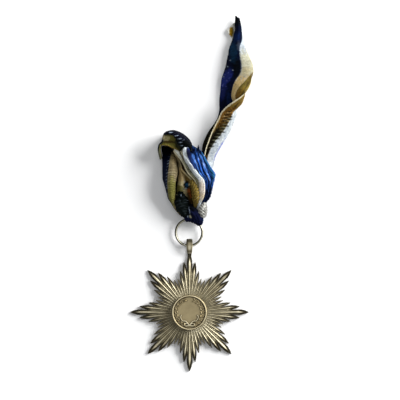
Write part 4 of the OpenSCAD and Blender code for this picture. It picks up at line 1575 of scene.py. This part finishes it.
    def fold(self, name: str, path: tuple, stripes: list[Stripe], **details: object) -> SilkSheet:
        """Shapes a fold that arches over a path.

        Args:
            name: the sheet's name.
            path: rows of x, y, z and radius.
            stripes: the colours over the arch, in its columns from 0 to 6.
            details: other fields of the sheet.

        Returns:
            The sheet.
        """
        knots = [np.array(row, float) for row in path]
        far, near = 1 + self.FOLD_OVERRUN, self.FOLD_OVERRUN
        first, last = knots[0] * far - knots[1] * near, knots[-1] * far - knots[-2] * near
        first[3], last[3] = knots[0][3] * self.FOLD_TAPER, knots[-1][3] * self.FOLD_TAPER
        knots = [first, *knots, last]
        turns = np.radians(np.linspace(*self.FOLD_TURNS, self.FOLD_KNOTS))
        rows = []
        for i, knot in enumerate(knots):
            along = knots[min(i + 1, len(knots) - 1)][:3] - knots[max(i - 1, 0)][:3]
            along /= np.linalg.norm(along)
            side = np.cross(along, (0, 0, 1))
            side /= np.linalg.norm(side)
            up = np.cross(side, along)
            rows.append([knot[:3] + knot[3] * (math.cos(a) * side + math.sin(a) * up) for a in turns])
        return SilkSheet(name, np.array(rows), (90, 72), stripes, held="gathered", **details)

    def wraps(self) -> tuple[tuple[float, float, float, float], ...]:
        """Places the turns of the band round the ring's wire, as rows of x, y, z and radius."""
        low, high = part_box("ring")
        middle, spread = (low + high) / 2, (high - low) / 2
        wire_radius = JumpRing().wire / 2 / MM
        rows = []
        for angle, distance, lift, radius in self.WRAPS:
            turn = math.radians(angle)
            x = middle.x / MM + distance * math.cos(turn)
            y = middle.y / MM + distance * math.sin(turn)
            z = middle.z / MM + (spread.z / MM - wire_radius) * math.sin(turn) + lift
            rows.append((x, y, z, radius))
        return tuple(rows)

    def folds(self) -> list[SilkSheet]:
        """Shapes the folds that are gathered near the ring."""
        return [
            self.fold(
                "ribbon_bulge",
                self.BULGE,
                [Stripe(9, SilkColour.BOTTLE)],
                flat=(0.011, 0.011),
                spots=[
                    # Small painted highlights
                    Spot(-4.4, -0.8, 0.16, 0.25, SilkColour.STEEL, 0.7, 0.4),
                    Spot(-6.3, -0.5, 0.45, 0.25, SilkColour.SAGE, 0.9, 0.4),
                    Spot(-1.8, -3.0, 0.25, 0.15, SilkColour.STEEL, 0.6, 0.4),
                ],
                ribs=[Ribs(1.3, 0.22, slant=0.25, crest_paint=0.1)],
                creases=[Creases(1.2, 3.0, 0.7, shade=1.0)],
                seed=11,
                sag=0.3,
            ),
            self.fold(
                "ribbon_pale_gather",
                self.PALE_GATHER,
                [Stripe(9, SilkColour.LINEN)],
                area=8e-5,
                ribs=[Ribs(1.3, 0.45, slant=-0.9, crest_paint=0.7, crest_hue=SilkColour.PEARL)],
                creases=[Creases(0.8, 3.0, 0.3, shade=1.2)],
                seed=12,
            ),
            self.fold(
                "ribbon_finger",
                self.FINGER,
                # The rim is painted brighter than the white, as painted light on its shaded side
                [Stripe(3.8, SilkColour.SNOW), Stripe(6.0, SilkColour.INK, 0.3), Stripe(9, SilkColour.DEEP, 0.3)],
                area=6e-5,
                spots=[
                    Spot(-2.2, 19.6, 1.8, 0.6, SilkColour.STEEL, 0.9, 0.6),
                    Spot(0.2, 11.6, 2.0, 3.6, SilkColour.DEEP, 0.7, 0.9, columns=(3.8, 9)),
                ],
                creases=[Creases(0.7, 3.0, 0.2, shade=1.2)],
                seed=16,
            ),
            self.fold(
                "ribbon_gold_twist",
                self.GOLD_TWIST,
                [Stripe(9, SilkColour.STRAW)],
                area=8e-5,
                ribs=[Ribs(1.5, 0.5, slant=0.9, crest_paint=0.6, crest_hue=SilkColour.PEARL)],
                seed=13,
            ),
            self.fold(
                "ribbon_knot",
                self.KNOT_HEART,
                [Stripe(9, SilkColour.INK)],
                area=7e-5,
                spots=[
                    Spot(0.9, -5.9, 2.6, 1.7, SilkColour.PITCH, 0.9, 0.8),
                    # A thin painted highlight
                    Spot(-0.8, -7.4, 0.22, 1.7, SilkColour.STEEL, 0.8, 0.7, lean=-0.2),
                ],
                creases=[Creases(1.1, 4.0, 0.5, shade=1.2)],
                wire_gap=0.15,
                seed=14,
            ),
            self.fold(
                "ribbon_wrap",
                self.wraps(),
                [Stripe(9, SilkColour.INK)],
                area=9e-5,
                spots=[
                    # The first three are painted highlights
                    Spot(-0.5, -9.7, 0.35, 0.7, SilkColour.IVORY, 0.9, 0.5, lean=-0.4),
                    Spot(-1.5, -9.6, 0.25, 0.6, SilkColour.STEEL, 0.7, 0.5),
                    Spot(4.4, -8.6, 0.6, 0.35, SilkColour.STEEL, 0.7, 0.6),
                    Spot(5.3, -10.6, 0.9, 1.0, SilkColour.TEAL, 0.6, 0.9),
                ],
                ribs=[Ribs(1.3, 0.3)],
                creases=[Creases(1.1, 4.0, 0.4, shade=1.0)],
                wire_gap=0.15,
                seed=15,
            ),
            self.fray(),
        ]

    def fray(self) -> SilkSheet:
        """Shapes the frayed end that sticks out behind the blue pleats."""
        tips = np.array(self.FRAY)
        width = len(tips)
        rows = [
            np.stack([tips[:, 0] + shift, np.full(width, y), np.linspace(first, last, width)], axis=-1)
            for shift, y, first, last in self.FRAY_ROWS
        ]
        rows.append(np.stack([*tips.T, np.linspace(*self.FRAY_HEIGHTS, width)], axis=-1))
        return SilkSheet(
            "ribbon_fray",
            np.stack(rows),
            (48, 90),
            [Stripe(9, SilkColour.NAVY)],
            area=5e-5,
            spots=[Spot(1.9, 16.6, 1.2, 1.4, SilkColour.DEEP, 0.6, 1.0)],
            creases=[Creases(0.7, 5.0, 0.2, shade=1.4)],
            crisp=1.0,
            sag=0.05,
            seed=17,
        )

    def build(self) -> None:
        """Makes and dresses every sheet of the ribbon."""
        silk = self.finish.material("ribbed_silk")
        for sheet in [self.tail(), self.loop(), self.hood(), *self.folds()]:
            piece = sheet.build()
            piece.data.materials.append(silk)
            LOG.info("made %s with %d faces", sheet.name, len(piece.data.polygons))


@dataclass
class Studio:
    """The pale floor, the soft lights and the camera straight above, in metres."""

    view_centre: tuple[float, float] = (3.54 * MM, -2.75 * MM)
    view_width: float = 169.5 * MM
    lens: float = 200.0
    sensor: float = 36.0
    view_depth: float = 50.0
    floor_size: float = 6.0
    floor_tone: float = 0.94
    sky: tuple[float, float, float] = (0.9, 0.95, 1.0)
    sky_strength: float = 0.12

    # Columns: name, place, size and power of a square light that shines on the origin
    LIGHTS = (
        ("key", (1.67, 0.84, 0.74), 1.45, 112.0),
        ("top", (-0.1, 0.25, 1.1), 0.9, 2.4),
        ("left", (-1.4, 0.2, 0.6), 0.9, 4.0),
        ("north", (0.2, 1.5, 0.7), 0.9, 4.0),
        ("south", (-0.1, -1.5, 0.7), 0.9, 4.0),
    )

    def build(self) -> None:
        """Sets up the floor, the lights and the camera."""
        self.floor()
        self.lights()
        self.camera()

    def floor(self) -> None:
        """Lays the pale floor."""
        mesh = bmesh.new()
        bmesh.ops.create_grid(mesh, x_segments=1, y_segments=1, size=self.floor_size / 2)
        floor = placed("floor", meshed("floor", mesh))
        nodes = Nodes.named("pale_floor")
        nodes.shader.inputs["Base Color"].default_value = (*[self.floor_tone] * 3, 1)
        nodes.shader.inputs["Roughness"].default_value = 0.9
        nodes.shader.inputs["Specular IOR Level"].default_value = 0.1
        floor.data.materials.append(nodes.material)

    def lights(self) -> None:
        """Hangs a strong light on the right and four faint ones, under a dim sky."""
        world = bpy.data.worlds.new("studio")
        bpy.context.scene.world = world
        world.use_nodes = True
        background = world.node_tree.nodes["Background"]
        background.inputs["Color"].default_value = (*self.sky, 1)
        background.inputs["Strength"].default_value = self.sky_strength
        for name, place, size, power in self.LIGHTS:
            data = bpy.data.lights.new(name, "AREA")
            data.size = size
            data.energy = power
            light = placed(name, data)
            light.location = place
            light.rotation_euler = light.location.to_track_quat("Z", "Y").to_euler()

    def camera(self) -> None:
        """Puts the camera straight above, with the photograph's frame."""
        data = bpy.data.cameras.new("camera")
        data.lens = self.lens
        data.sensor_width = self.sensor
        data.clip_end = self.view_depth
        camera = placed("camera", data)
        camera.location = (*self.view_centre, self.view_width * self.lens / self.sensor)
        bpy.context.scene.camera = camera
        bpy.context.scene.view_settings.view_transform = "Standard"


def main() -> None:
    """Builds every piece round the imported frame."""
    logging.basicConfig(level=logging.INFO, format="%(message)s")
    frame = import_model()
    Studio().build()
    Star(frame["nodes"]).dress()
    JumpRing().build()
    Ribbon().build()


if __name__ == "__main__":
    main()
